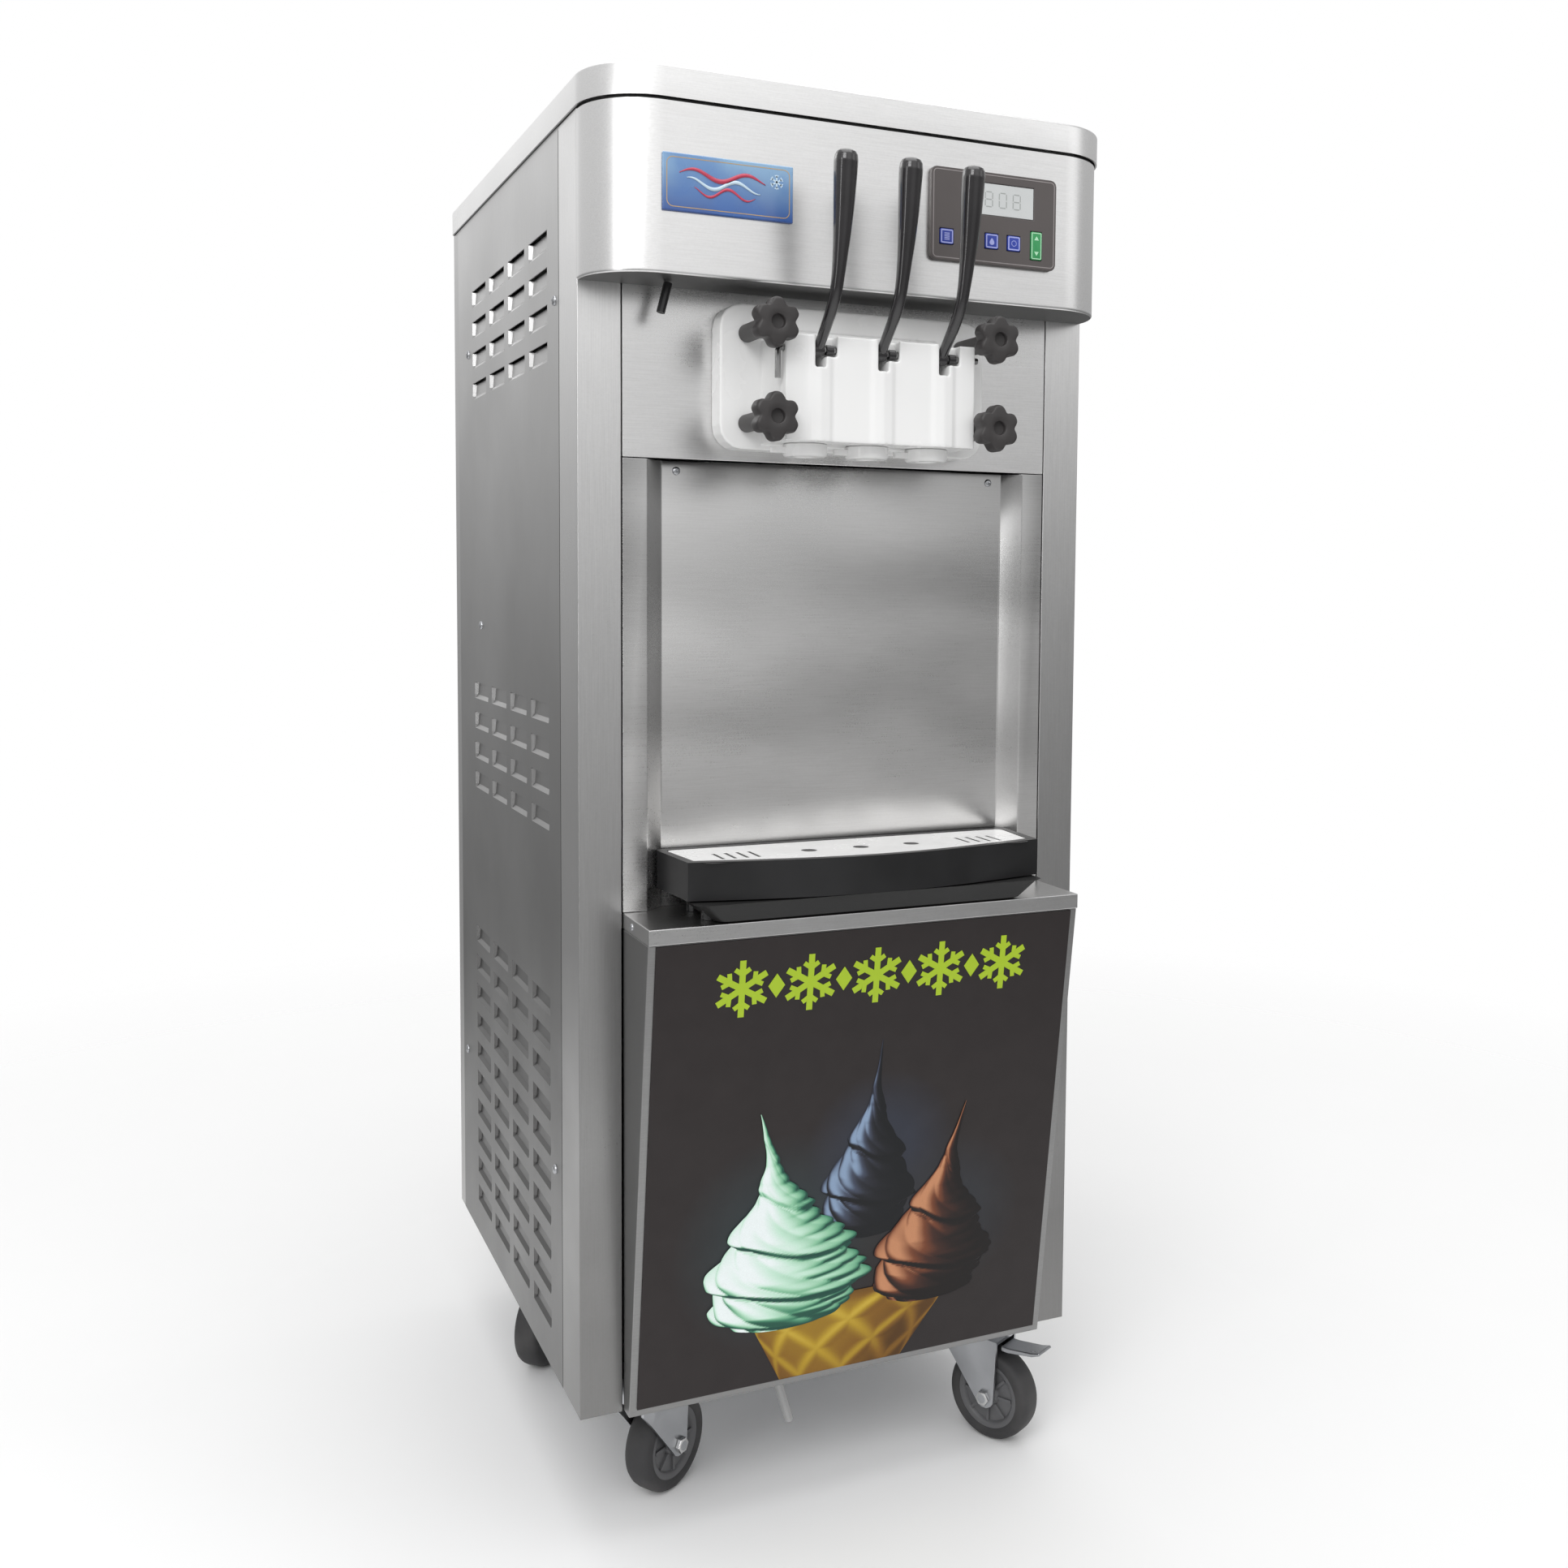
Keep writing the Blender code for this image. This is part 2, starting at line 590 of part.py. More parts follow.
def star_knob(row, side, x, z):
    """A six-lobed clamping knob on a round stem."""
    lobes, points = 6, 36
    outline = []
    for i in range(points):
        angle = 2 * math.pi * i / points
        radius = 0.0195 + 0.0028 * math.cos(lobes * (angle - math.pi / 2))
        outline.append((radius * math.cos(angle), radius * math.sin(angle)))
    name = f"star_knob_{row}_{side}"
    face, back = depth(-KNOB_FACE_OUT), depth(-KNOB_BACK_OUT)
    item = plate(name, outline, back - face, (x, (face + back) / 2, z), "Y", "knob_grey",
                 origin=(x, face, z))
    stages = (
        ("stem_guide", back - 0.001, depth(-PLATE_OUT - 0.0006), 0.0085, 14, join),
        ("bore_cutter", depth(-0.078), depth(0), 0.0045, 10, cut),
        ("recess_cutter", face - 0.001, face + 0.006, 0.0065, 12, cut),
    )
    for kind, start, end, radius, segments, operation in stages:
        operation(item, rod(f"knob_{kind}_{row}_{side}", (x, start, z), (x, end, z), radius, None, segments))


def dispensing():
    dispensing_head()
    for side, x in SPOUTS:
        lever(side, x)
        plunger(side, x)
        nozzle(side, x)
    y, leg_x = depth(-PIVOT_OUT), -BLOCK_HALF - 0.0055
    points = [(leg_x, y, 1.1255), (leg_x, y, PIVOT_Z - 0.0035), (leg_x + 0.001, y, PIVOT_Z - 0.001),
              (leg_x + 0.0035, y, PIVOT_Z), (BLOCK_HALF + 0.0055, y, PIVOT_Z)]
    tube("pivot_rod", points, ROD_RADIUS, "steel_bright")
    for row, z in zip(("lower", "upper"), KNOB_Z):
        for side, sign in SIDES:
            star_knob(row, side, sign * KNOB_X, z)


# Drip tray

def tray_outline(inset):
    """A rectangle with small corners and a front that bows outwards."""
    x, back, front = TRAY_HALF - inset, depth(TRAY_BACK - inset), depth(-TRAY_CORNER_OUT + inset)
    corner = 0.006
    steps = 12
    bow = [(-x + corner + (2 * x - 2 * corner) * i / steps, i / steps) for i in range(steps + 1)]
    return (arc(x - corner, back - corner, corner, 0, 90, 2)
            + arc(-x + corner, back - corner, corner, 90, 180, 2)
            + [(u, front - TRAY_BOW * math.sin(math.pi * share)) for u, share in bow])


def drip_tray():
    centre = (0, 0, (TRAY_HIGH + TRAY_LOW) / 2)
    tray = plate("drip_tray", tray_outline(0), TRAY_HIGH - TRAY_LOW, centre, "Z", "black_matte")
    over_ledge = (0, 0, TRAY_HIGH - 0.0030 + 0.01)
    cut(tray, plate("tray_ledge_cutter", tray_outline(0.008), 0.02, over_ledge, "Z", None))
    floor = TRAY_LOW + 0.0025
    cut(tray, plate("tray_well_cutter", tray_outline(0.013), 0.04, (0, 0, floor + 0.02), "Z", None))
    for side, x in (("left", -0.160), ("right", 0.160)):
        for row, offset in (("front", -0.055), ("rear", -0.012)):
            join(tray, rod(f"tray_foot_guide_{side}_{row}", (x, depth(offset), SHELF_Z + GAP),
                           (x, depth(offset), TRAY_LOW + 0.001), 0.008, None, 12))
    grid = plate("drip_grid", tray_outline(0.0085), 0.0024, (0, 0, TRAY_HIGH - 0.0015), "Z", "white_plastic")
    slots = [((sign * x - 0.0018, depth(-0.062), 0.6), (sign * x + 0.0018, depth(-0.030), 0.7))
             for sign in (-1, 1) for x in (0.112, 0.124, 0.136, 0.148)]
    cut(grid, boxes("grid_slot_cutter", slots))
    holes = [((x, depth(-0.045), 0.6), (x, depth(-0.045), 0.7)) for x in (-0.055, 0, 0.055)]
    cut(grid, rods("grid_hole_cutter", holes, 0.008, 12))


# Hopper

def hopper():
    flange_low, flange = TOP_Z + GAP, 0.0015
    pan = box("hopper_pan", (-WELL_X[1] - 0.010, depth(WELL_Y[0] - 0.010), flange_low),
              (WELL_X[1] + 0.010, depth(WELL_Y[1] + 0.010), flange_low + flange), "steel_bright")
    wells = [tuple(sorted((sign * WELL_X[0], sign * WELL_X[1]))) for _, sign in SIDES]
    near, far, wall = depth(WELL_Y[0]), depth(WELL_Y[1]), SHEET
    outer = [((x0, near, WELL_LOW), (x1, far, TOP_Z + 0.001)) for x0, x1 in wells]
    join(pan, boxes("hopper_well_guide", outer))
    inner = [((x0 + wall, near + wall, WELL_LOW + wall), (x1 - wall, far - wall, TOP_Z + 0.1))
             for x0, x1 in wells]
    cut(pan, boxes("hopper_well_cutter", inner))
    low = flange_low + flange + GAP
    for (side, _), (x0, x1) in zip(SIDES, wells):
        grow, rim = 0.005, 0.012
        centre = ((x0 + x1) / 2, (near + far) / 2, low)
        lid = box(f"hopper_lid_{side}", (x0 - grow, near - grow, low), (x1 + grow, far + grow, low + rim),
                  "steel_bright", origin=centre)
        inset = grow - SHEET
        cut(lid, box(f"lid_hollow_cutter_{side}", (x0 - inset, near - inset, low - 0.01),
                     (x1 + inset, far + inset, low + rim - SHEET), None))
        knob = [(0, 0.022), (0.010, 0.022), (0.016, 0.018), (0.016, 0.012), (0.008, 0.006), (0.008, 0),
                (0, 0)]
        top = (centre[0], centre[1], low + rim - 0.001)
        join(lid, turned(f"lid_knob_guide_{side}", knob, None, top, steps=20))


# Controls

BEZEL_X = (0.056, 0.195)
BEZEL_Z = (1.249, 1.337)
BEZEL_THICK = 0.005
BUTTON_X = (0.073, 0.0977, 0.1223, 0.147)
BUTTON_Z = 1.2715
BUTTON_HALF = 0.0072
ROCKER_X = 0.1725
ROCKER_HALF = (0.0062, 0.0135)
DISPLAY_X = (0.100, 0.169)
DISPLAY_Z = (1.2965, 1.3265)


def controls():
    back = depth(-HEADER_OUT - GAP)
    front = back - BEZEL_THICK
    outline = rounded_rectangle((BEZEL_X[0], BEZEL_Z[0]), (BEZEL_X[1], BEZEL_Z[1]), 0.006, 3)
    bezel = plate("control_bezel", outline, BEZEL_THICK, (0, (front + back) / 2, 0), "Y", "panel_brown")
    play = 0.0004
    holes = [((x - BUTTON_HALF - play, front - 0.01, BUTTON_Z - BUTTON_HALF - play),
              (x + BUTTON_HALF + play, back + 0.01, BUTTON_Z + BUTTON_HALF + play)) for x in BUTTON_X]
    wide, tall = ROCKER_HALF
    holes.append(((ROCKER_X - wide - play, front - 0.01, BUTTON_Z - tall - play),
                  (ROCKER_X + wide + play, back + 0.01, BUTTON_Z + tall + play)))
    holes.append(((DISPLAY_X[0] - play, front - 0.01, DISPLAY_Z[0] - play),
                  (DISPLAY_X[1] + play, back + 0.01, DISPLAY_Z[1] + play)))
    cut(bezel, boxes("bezel_cutter", holes))
    box("display_window", (DISPLAY_X[0], front + 0.0004, DISPLAY_Z[0]),
        (DISPLAY_X[1], back - GAP, DISPLAY_Z[1]), "display")
    names = ("mix", "chill", "wash", "power")
    for name, x in zip(names, BUTTON_X):
        box(f"button_{name}", (x - BUTTON_HALF, front - 0.0008, BUTTON_Z - BUTTON_HALF),
            (x + BUTTON_HALF, front + 0.0030, BUTTON_Z + BUTTON_HALF), "key_blue",
            origin=(x, front - 0.0008, BUTTON_Z), bevel=0.0006)
    box("rocker_key", (ROCKER_X - wide, front - 0.0008, BUTTON_Z - tall),
        (ROCKER_X + wide, front + 0.0030, BUTTON_Z + tall), "key_green",
        origin=(ROCKER_X, front + 0.0015, BUTTON_Z), bevel=0.0006)
    box("nameplate", (-0.210, back - 0.0025, 1.268), (-0.085, back, 1.319), "emblem_blue", bevel=0.0008)


# Casters

def fork(name, x, y, turn):
    """A pressed fork under its round swivel head, hollowed out for the wheel."""
    axle = (TRAIL, AXLE_Z)
    outline = ([(-0.024, CROWN_Z), (-0.024, 0.104), (-0.010, 0.088)] + arc(*axle, 0.012, 200, 340, 5)
               + [(0.049, 0.098), (0.050, CROWN_Z)])
    half, gap = 0.0205, 0.0172
    item = plate(f"caster_fork_{name}", outline, 2 * half, (x, y, 0), "Y", "zinc", turn=turn)
    place = (x, y, 0)
    inside = ((-0.1, -gap, 0), (0.1, gap, CROWN_Z - 0.004))
    cut(item, box(f"fork_gap_cutter_{name}", *inside, None, place, turn, local=True))
    axle_ends = ((TRAIL, -AXLE_HALF, AXLE_Z), (TRAIL, AXLE_HALF, AXLE_Z))
    join(item, rod(f"axle_guide_{name}", *axle_ends, 0.005, None, 12, place, turn, local=True))
    head_ends = ((0, 0, CROWN_Z - 0.001), (0, 0, PLATE_LOW_Z - GAP))
    join(item, rod(f"swivel_guide_{name}", *head_ends, SWIVEL_RADIUS, None, 24, place, turn, local=True))


def wheel(name, x, y, turn):
    side = [(0.0060, 0.0150), (0.0350, 0.0130), (0.0455, 0.0150), (WHEEL_RADIUS, 0.0095)]
    profile = side + [(radius, -height) for radius, height in reversed(side)]
    centre = (x + TRAIL * math.cos(turn), y + TRAIL * math.sin(turn), AXLE_Z)
    turned(f"caster_wheel_{name}", profile, "rubber", centre, "Y", WHEEL_STEPS, math.pi / WHEEL_STEPS, turn,
           closed=True)


def brake_pedal(name, x, y, turn):
    hinge = (0.0535, 0.1065)
    outline = [(0.0510, 0.1035), (0.0600, 0.1035), (0.0900, 0.1085), (0.1000, 0.1125), (0.0985, 0.1150),
               (0.0890, 0.1125), (0.0600, 0.1090), (0.0510, 0.1090)]
    local = [(u - hinge[0], v - hinge[1]) for u, v in outline]
    place = (x + hinge[0] * math.cos(turn), y + hinge[0] * math.sin(turn), hinge[1])
    plate(f"brake_pedal_{name}", local, 0.026, place, "Y", "zinc", turn=turn)


def casters():
    for name, x, offset, heading, brake in CASTERS:
        y, turn = depth(offset), math.radians(heading)
        fork(name, x, y, turn)
        wheel(name, x, y, turn)
        if brake:
            brake_pedal(name, x, y, turn)


# Inside the cabinet

def freezer():
    """Two freezing cylinders on one front flange, with the studs that hold the head."""
    back_wall = 0.020
    block = box("freezer_block", (-0.135, depth(SHEET + GAP), 1.070), (0.135, depth(0.0125), 1.186),
                "steel_satin")

    def both_barrels(start, end):
        return [((sign * BARREL_X, depth(start), BARREL_Z), (sign * BARREL_X, depth(end), BARREL_Z))
                for _, sign in SIDES]

    join(block, rods("barrel_guide", both_barrels(0.010, BARREL_BACK), BARREL_RADIUS, 22))
    cut(block, rods("barrel_bore_cutter", both_barrels(-0.01, BARREL_BACK - back_wall), BARREL_BORE, 22))
    cut(block, rods("shaft_hole_cutter", both_barrels(0.2, 0.4), 0.0084, 16))
    join(block, stud_rods("stud_guide", 0.004, -0.074, 0.006))


def beater(side, x):
    """A scraper: a shaft with three full-length blades."""
    start = (x, depth(0.012), BARREL_Z)
    end = (x, depth(BARREL_BACK - 0.0005), BARREL_Z)
    item = rod(f"beater_{side}", start, end, 0.008, "white_plastic", 16, origin=start)
    for i in range(3):
        blade = box(f"blade_guide_{side}_{i}", (0, 0.010, -0.0015), (0.045, 0.300, 0.0015), None)
        blade.location = start
        blade.rotation_euler = (0, math.radians(120 * i), 0)
        join(item, blade)


def drive():
    gear_front = depth(BARREL_BACK + GAP)
    motor = box("gear_motor", (-0.100, gear_front, 1.075), (0.100, gear_front + 0.055, 1.181), "cast_grey",
                bevel=0.006)
    body = [(0, 0.150), (0.045, 0.150), (0.058, 0.140), (0.058, 0.006), (0.052, 0), (0, 0)]
    shell = turned("motor_shell_guide", body, None, (0, gear_front + 0.054, BARREL_Z), "Y", 28)
    shell.rotation_euler = (0, 0, math.pi)
    join(motor, shell)


def cooling():
    floor = BASE_Z + 0.002 + GAP
    profile = [(0, 0.235), (0.045, 0.230), (0.075, 0.205), (0.085, 0.170), (0.085, 0.050), (0.074, 0.018),
               (0.100, 0.014), (0.100, 0), (0, 0)]
    smooth(turned("compressor", profile, "compressor_black", (0.10, depth(0.215), floor), steps=22))
    axis_x, axis_z = -0.02, 0.335
    low, high = (-0.190, depth(0.530), floor), (0.150, depth(0.575), 0.520)
    condenser = box("condenser", low, high, "cast_grey")
    grooves = [((x - 0.004, depth(0.5), floor + 0.015), (x + 0.004, depth(0.537), 0.505))
               for x in [-0.174 + 0.0205 * i for i in range(16)] if abs(x - axis_x) > 0.045]
    cut(condenser, boxes("fin_cutter", grooves))
    motor_ends = ((axis_x, depth(0.485), axis_z), (axis_x, depth(0.532), axis_z))
    join(condenser, rod("fan_motor_guide", *motor_ends, 0.034, None, 20))
    hub = (axis_x, depth(0.4845), axis_z)
    fan = rod("fan_rotor", hub, (axis_x, depth(0.455), axis_z), 0.032, "black_matte", 20, origin=hub)
    for i in range(5):
        blade = box(f"fan_blade_guide_{i}", (0.025, -0.0012, -0.022), (0.125, 0.0012, 0.022), None)
        blade.location = (axis_x, depth(0.470), axis_z)
        tilt = Matrix.Rotation(math.radians(72 * i), 3, "Y") @ Matrix.Rotation(math.radians(25), 3, "X")
        blade.rotation_euler = tilt.to_euler()
        join(fan, blade)


def build():
    base()
    corner_posts()
    side_panels()
    rear_panel()
    top_cover()
    header_cover()
    fixed_front()
    shelf()
    door()
    dispensing()
    drip_tray()
    hopper()
    controls()
    casters()
    freezer()
    for side, sign in SIDES:
        beater(side, sign * BARREL_X)
    drive()
    cooling()


build()
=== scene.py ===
import json
import math

import bmesh
import bpy
from mathutils import Matrix, Vector

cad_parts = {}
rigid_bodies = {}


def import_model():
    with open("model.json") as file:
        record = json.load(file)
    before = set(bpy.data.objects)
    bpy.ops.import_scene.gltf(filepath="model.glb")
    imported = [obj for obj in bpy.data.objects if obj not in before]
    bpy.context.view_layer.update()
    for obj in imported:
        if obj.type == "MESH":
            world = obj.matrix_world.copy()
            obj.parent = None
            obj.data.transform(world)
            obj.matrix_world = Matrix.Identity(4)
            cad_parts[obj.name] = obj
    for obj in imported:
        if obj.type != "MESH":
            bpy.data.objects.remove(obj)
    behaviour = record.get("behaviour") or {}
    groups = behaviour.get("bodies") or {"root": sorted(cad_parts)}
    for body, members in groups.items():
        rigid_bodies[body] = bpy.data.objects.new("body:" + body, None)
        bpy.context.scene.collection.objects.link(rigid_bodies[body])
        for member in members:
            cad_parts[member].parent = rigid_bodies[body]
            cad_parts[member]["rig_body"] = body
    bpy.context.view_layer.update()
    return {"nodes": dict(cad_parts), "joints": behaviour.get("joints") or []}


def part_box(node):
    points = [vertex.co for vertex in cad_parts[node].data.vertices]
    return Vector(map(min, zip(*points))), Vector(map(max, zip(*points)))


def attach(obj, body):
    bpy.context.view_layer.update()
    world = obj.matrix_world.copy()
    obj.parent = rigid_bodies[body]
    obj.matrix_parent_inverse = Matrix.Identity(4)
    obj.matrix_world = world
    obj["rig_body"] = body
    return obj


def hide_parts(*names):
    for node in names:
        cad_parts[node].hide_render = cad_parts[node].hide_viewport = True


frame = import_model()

NODES = frame["nodes"]
SCENE = bpy.context.scene

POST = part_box("corner_post_left")
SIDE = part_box("side_panel_left")
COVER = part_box("top_cover")
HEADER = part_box("header_cover")
HALF = -POST[0].x
FRONT = POST[0].y
BASE_Z = POST[0].z
LID_Z = COVER[0].z
TOP_Z = COVER[1].z
SIDES = (("left", -1), ("right", 1))
SPOUTS = ("left", "middle", "right")
KEYS = ("mix", "chill", "wash", "power")
CASTERS = ("front_left", "front_right", "rear_left", "rear_right")


def depth(offset):
    """World Y of a depth counted backwards from the corner posts."""
    return FRONT + offset


def middle(node):
    low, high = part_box(node)
    return (low + high) / 2


PIVOT_Y, PIVOT_Z = depth(-0.079), 1.1535


# Shape helpers

def linked(name, shape):
    """An object made from a bmesh, which is freed, or from a mesh."""
    if isinstance(shape, bmesh.types.BMesh):
        mesh = bpy.data.meshes.new(name)
        shape.to_mesh(mesh)
        shape.free()
    else:
        mesh = shape
    item = bpy.data.objects.new(name, mesh)
    SCENE.collection.objects.link(item)
    return item


def crisp(item, angle):
    """Smooth shading that keeps the edges sharper than an angle."""
    item.data.shade_smooth()
    item.data.set_sharp_from_angle(angle=math.radians(angle))


def piece(name, shape, finish, body="root", stands_for=(), angle=35):
    """Link a shape given in the frame's coordinates, finish it and make it ride on its body."""
    item = linked(name, shape)
    item.data.materials.clear()
    item.data.materials.append(finish)
    crisp(item, angle)
    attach(item, body)
    if stands_for:
        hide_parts(*stands_for)
    return item


def finished(node, shape, finish, angle=35):
    """A piece that stands for a CAD node and rides on that node's body."""
    return piece(f"{node}_finished", shape, finish, NODES[node]["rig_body"], (node,), angle)


def evaluated_mesh(item):
    """The mesh that an object's modifiers make, with the modifiers removed."""
    mesh = bpy.data.meshes.new_from_object(item.evaluated_get(bpy.context.evaluated_depsgraph_get()))
    item.modifiers.clear()
    item.data = mesh
    return item


def sheet(item, thickness, angle=30):
    """Give a surface a thickness inwards, and keep its folds and cut edges crisp."""
    solid = item.modifiers.new("sheet", "SOLIDIFY")
    solid.thickness, solid.offset = thickness, -1
    evaluated_mesh(item)
    crisp(item, angle)
    return item


def bevel(item, width, segments=2, angle=30):
    step = item.modifiers.new("round", "BEVEL")
    step.width = width
    step.segments = segments
    step.limit_method = "ANGLE"
    step.angle_limit = math.radians(angle)
    step.harden_normals = True
    return item


def cad_copy(node, flatten=1.0):
    """A bmesh copy of a CAD node, with its flat faces merged."""
    bm = bmesh.new()
    bm.from_mesh(NODES[node].data)
    bmesh.ops.remove_doubles(bm, verts=bm.verts, dist=0.000001)
    if flatten:
        bmesh.ops.dissolve_limit(bm, angle_limit=math.radians(flatten), verts=bm.verts, edges=bm.edges)
    return bm


def refined(node, finish, width=0.0006, segments=2, angle=30):
    """A CAD node's own shape with rounded edges."""
    return bevel(finished(node, cad_copy(node), finish), width, segments, angle)


def paint(node, finish):
    """Keep a CAD node as it is and give it a finish."""
    NODES[node].data.materials.clear()
    NODES[node].data.materials.append(finish)
    crisp(NODES[node], 35)


def around(steps):
    """Evenly spaced angles, once round."""
    return [2 * math.pi * i / steps for i in range(steps)]


def ring(radius, height, steps):
    return [(radius * math.cos(t), radius * math.sin(t), height) for t in around(steps)]


def arc(cx, cy, radius, start, end, steps):
    angles = [math.radians(start + (end - start) * i / steps) for i in range(steps + 1)]
    return [(cx + radius * math.cos(t), cy + radius * math.sin(t)) for t in angles]


def rounded_outline(low, high, radius, steps=6):
    (x0, y0), (x1, y1) = low, high
    return (arc(x1 - radius, y1 - radius, radius, 0, 90, steps)
            + arc(x0 + radius, y1 - radius, radius, 90, 180, steps)
            + arc(x0 + radius, y0 + radius, radius, 180, 270, steps)
            + arc(x1 - radius, y0 + radius, radius, 270, 360, steps))


def skin(rings, caps=(True, True), bm=None, place=None):
    """A surface through rings of equally many points, with its first and last ring capped."""
    bm = bm or bmesh.new()
    rows = [[bm.verts.new(place @ Vector(p) if place else Vector(p)) for p in ring] for ring in rings]
    count = len(rows[0])
    for a, b in zip(rows, rows[1:]):
        for i in range(count):
            j = (i + 1) % count
            bm.faces.new((a[i], a[j], b[j], b[i]))
    if caps[0]:
        bm.faces.new(reversed(rows[0]))
    if caps[1]:
        bm.faces.new(rows[-1])
    return bm


def add_box(bm, low, high):
    low, high = Vector(low), Vector(high)
    place = Matrix.Translation((low + high) / 2) @ Matrix.Diagonal((*(high - low), 1))
    bmesh.ops.create_cube(bm, size=1, matrix=place)


def outward(bm):
    bmesh.ops.recalc_face_normals(bm, faces=bm.faces)
    return bm


def slab(outline, low, high, edge=0.0, steps=3, bm=None, place=None):
    """An outline in a plane, from one height to another, its upper edge rounded by edge."""
    cx = sum(p[0] for p in outline) / len(outline)
    cy = sum(p[1] for p in outline) / len(outline)
    wide = max(abs(p[0] - cx) for p in outline)
    tall = max(abs(p[1] - cy) for p in outline)
    rings = [[(x, y, low) for x, y in outline]]
    for i in range(steps + 1) if edge else (0,):
        turn = math.pi / 2 * i / steps
        shrink, height = edge * (1 - math.cos(turn)), high - edge + edge * math.sin(turn)
        rings.append([(cx + (x - cx) * (1 - shrink / wide), cy + (y - cy) * (1 - shrink / tall), height)
                      for x, y in outline])
    return skin(rings, bm=bm, place=place)


def turned(profile, centre, axis="Z", steps=48, bm=None):
    """A turned solid from (radius, height) points; a profile that starts off the axis is a ring."""
    turn = {"Z": Matrix.Identity(4), "Y": Matrix.Rotation(math.radians(90), 4, "X"),
            "X": Matrix.Rotation(math.radians(90), 4, "Y")}[axis]
    place = Matrix.Translation(centre) @ turn
    solid = profile[0][0] < 1e-6
    points = profile[1:-1] if solid else profile + profile[:1]
    return skin([ring(r, h, steps) for r, h in points], caps=(solid, solid), bm=bm, place=place)


def tube_mesh(name, points, radii, resolution):
    """A bent round bar through points, as a welded mesh."""
    curve = bpy.data.curves.new(name, "CURVE")
    curve.dimensions = "3D"
    curve.bevel_depth = 1.0
    curve.bevel_resolution = resolution
    curve.use_fill_caps = True
    curve.resolution_u = 8
    spline = curve.splines.new("BEZIER")
    spline.bezier_points.add(len(points) - 1)
    for point, place, radius in zip(spline.bezier_points, points, radii):
        point.co = place
        point.radius = radius
        point.handle_left_type = point.handle_right_type = "AUTO"
    holder = linked(name, curve)
    mesh = bpy.data.meshes.new_from_object(holder.evaluated_get(bpy.context.evaluated_depsgraph_get()))
    bpy.data.objects.remove(holder)
    bm = bmesh.new()
    bm.from_mesh(mesh)
    bmesh.ops.remove_doubles(bm, verts=bm.verts, dist=0.00001)
    bm.to_mesh(mesh)
    bm.free()
    return mesh


# Material helpers

def add(tree, kind, links=None, **settings):
    """A shader node; each link is either a socket to join or a value to set."""
    made = tree.nodes.new(kind)
    for key, value in settings.items():
        setattr(made, key, value)
    for key, value in (links or {}).items():
        if isinstance(value, bpy.types.NodeSocket):
            tree.links.new(value, made.inputs[key])
        else:
            made.inputs[key].default_value = value
    return made


def start_material(name, **constants):
    """A material, its tree, its shader and its object coordinates."""
    made = bpy.data.materials.new(name)
    made.use_nodes = True
    tree = made.node_tree
    shader = tree.nodes["Principled BSDF"]
    for key, value in constants.items():
        shader.inputs[key.replace("_", " ")].default_value = value
    return made, tree, shader, add(tree, "ShaderNodeTexCoord").outputs["Object"]


def surface(tree, shader, tone, rough, normal=None):
    tree.links.new(tone, shader.inputs["Base Color"])
    tree.links.new(rough, shader.inputs["Roughness"])
    if normal is not None:
        tree.links.new(normal, shader.inputs["Normal"])


def noise(tree, coords, scale, stretch=(1, 1, 1), detail=3.0, rough=0.5):
    local = add(tree, "ShaderNodeMapping", {"Vector": coords, "Scale": stretch})
    return add(tree, "ShaderNodeTexNoise",
               {"Vector": local.outputs[0], "Scale": scale, "Detail": detail, "Roughness": rough}).outputs[0]


def spread(tree, value, low, high, start=0.3, end=0.7):
    """A value from start to end, mapped on to low to high."""
    return add(tree, "ShaderNodeMapRange", {"Value": value, "From Min": start, "From Max": end,
                                            "To Min": low, "To Max": high}).outputs[0]


def mix(tree, factor, a, b, blend="MIX"):
    made = add(tree, "ShaderNodeMix", data_type="RGBA", blend_type=blend)
    for socket, value in ((made.inputs[0], factor), (made.inputs[6], a), (made.inputs[7], b)):
        if isinstance(value, bpy.types.NodeSocket):
            tree.links.new(value, socket)
        else:
            socket.default_value = value
    return made.outputs[2]


def bump(tree, height, strength, distance, normal=None):
    links = {"Height": height, "Strength": strength, "Distance": distance}
    if normal is not None:
        links["Normal"] = normal
    return add(tree, "ShaderNodeBump", links).outputs[0]


def grey(value, warm=0.0):
    return (value * (1 + warm), value, value * (1 - warm), 1)


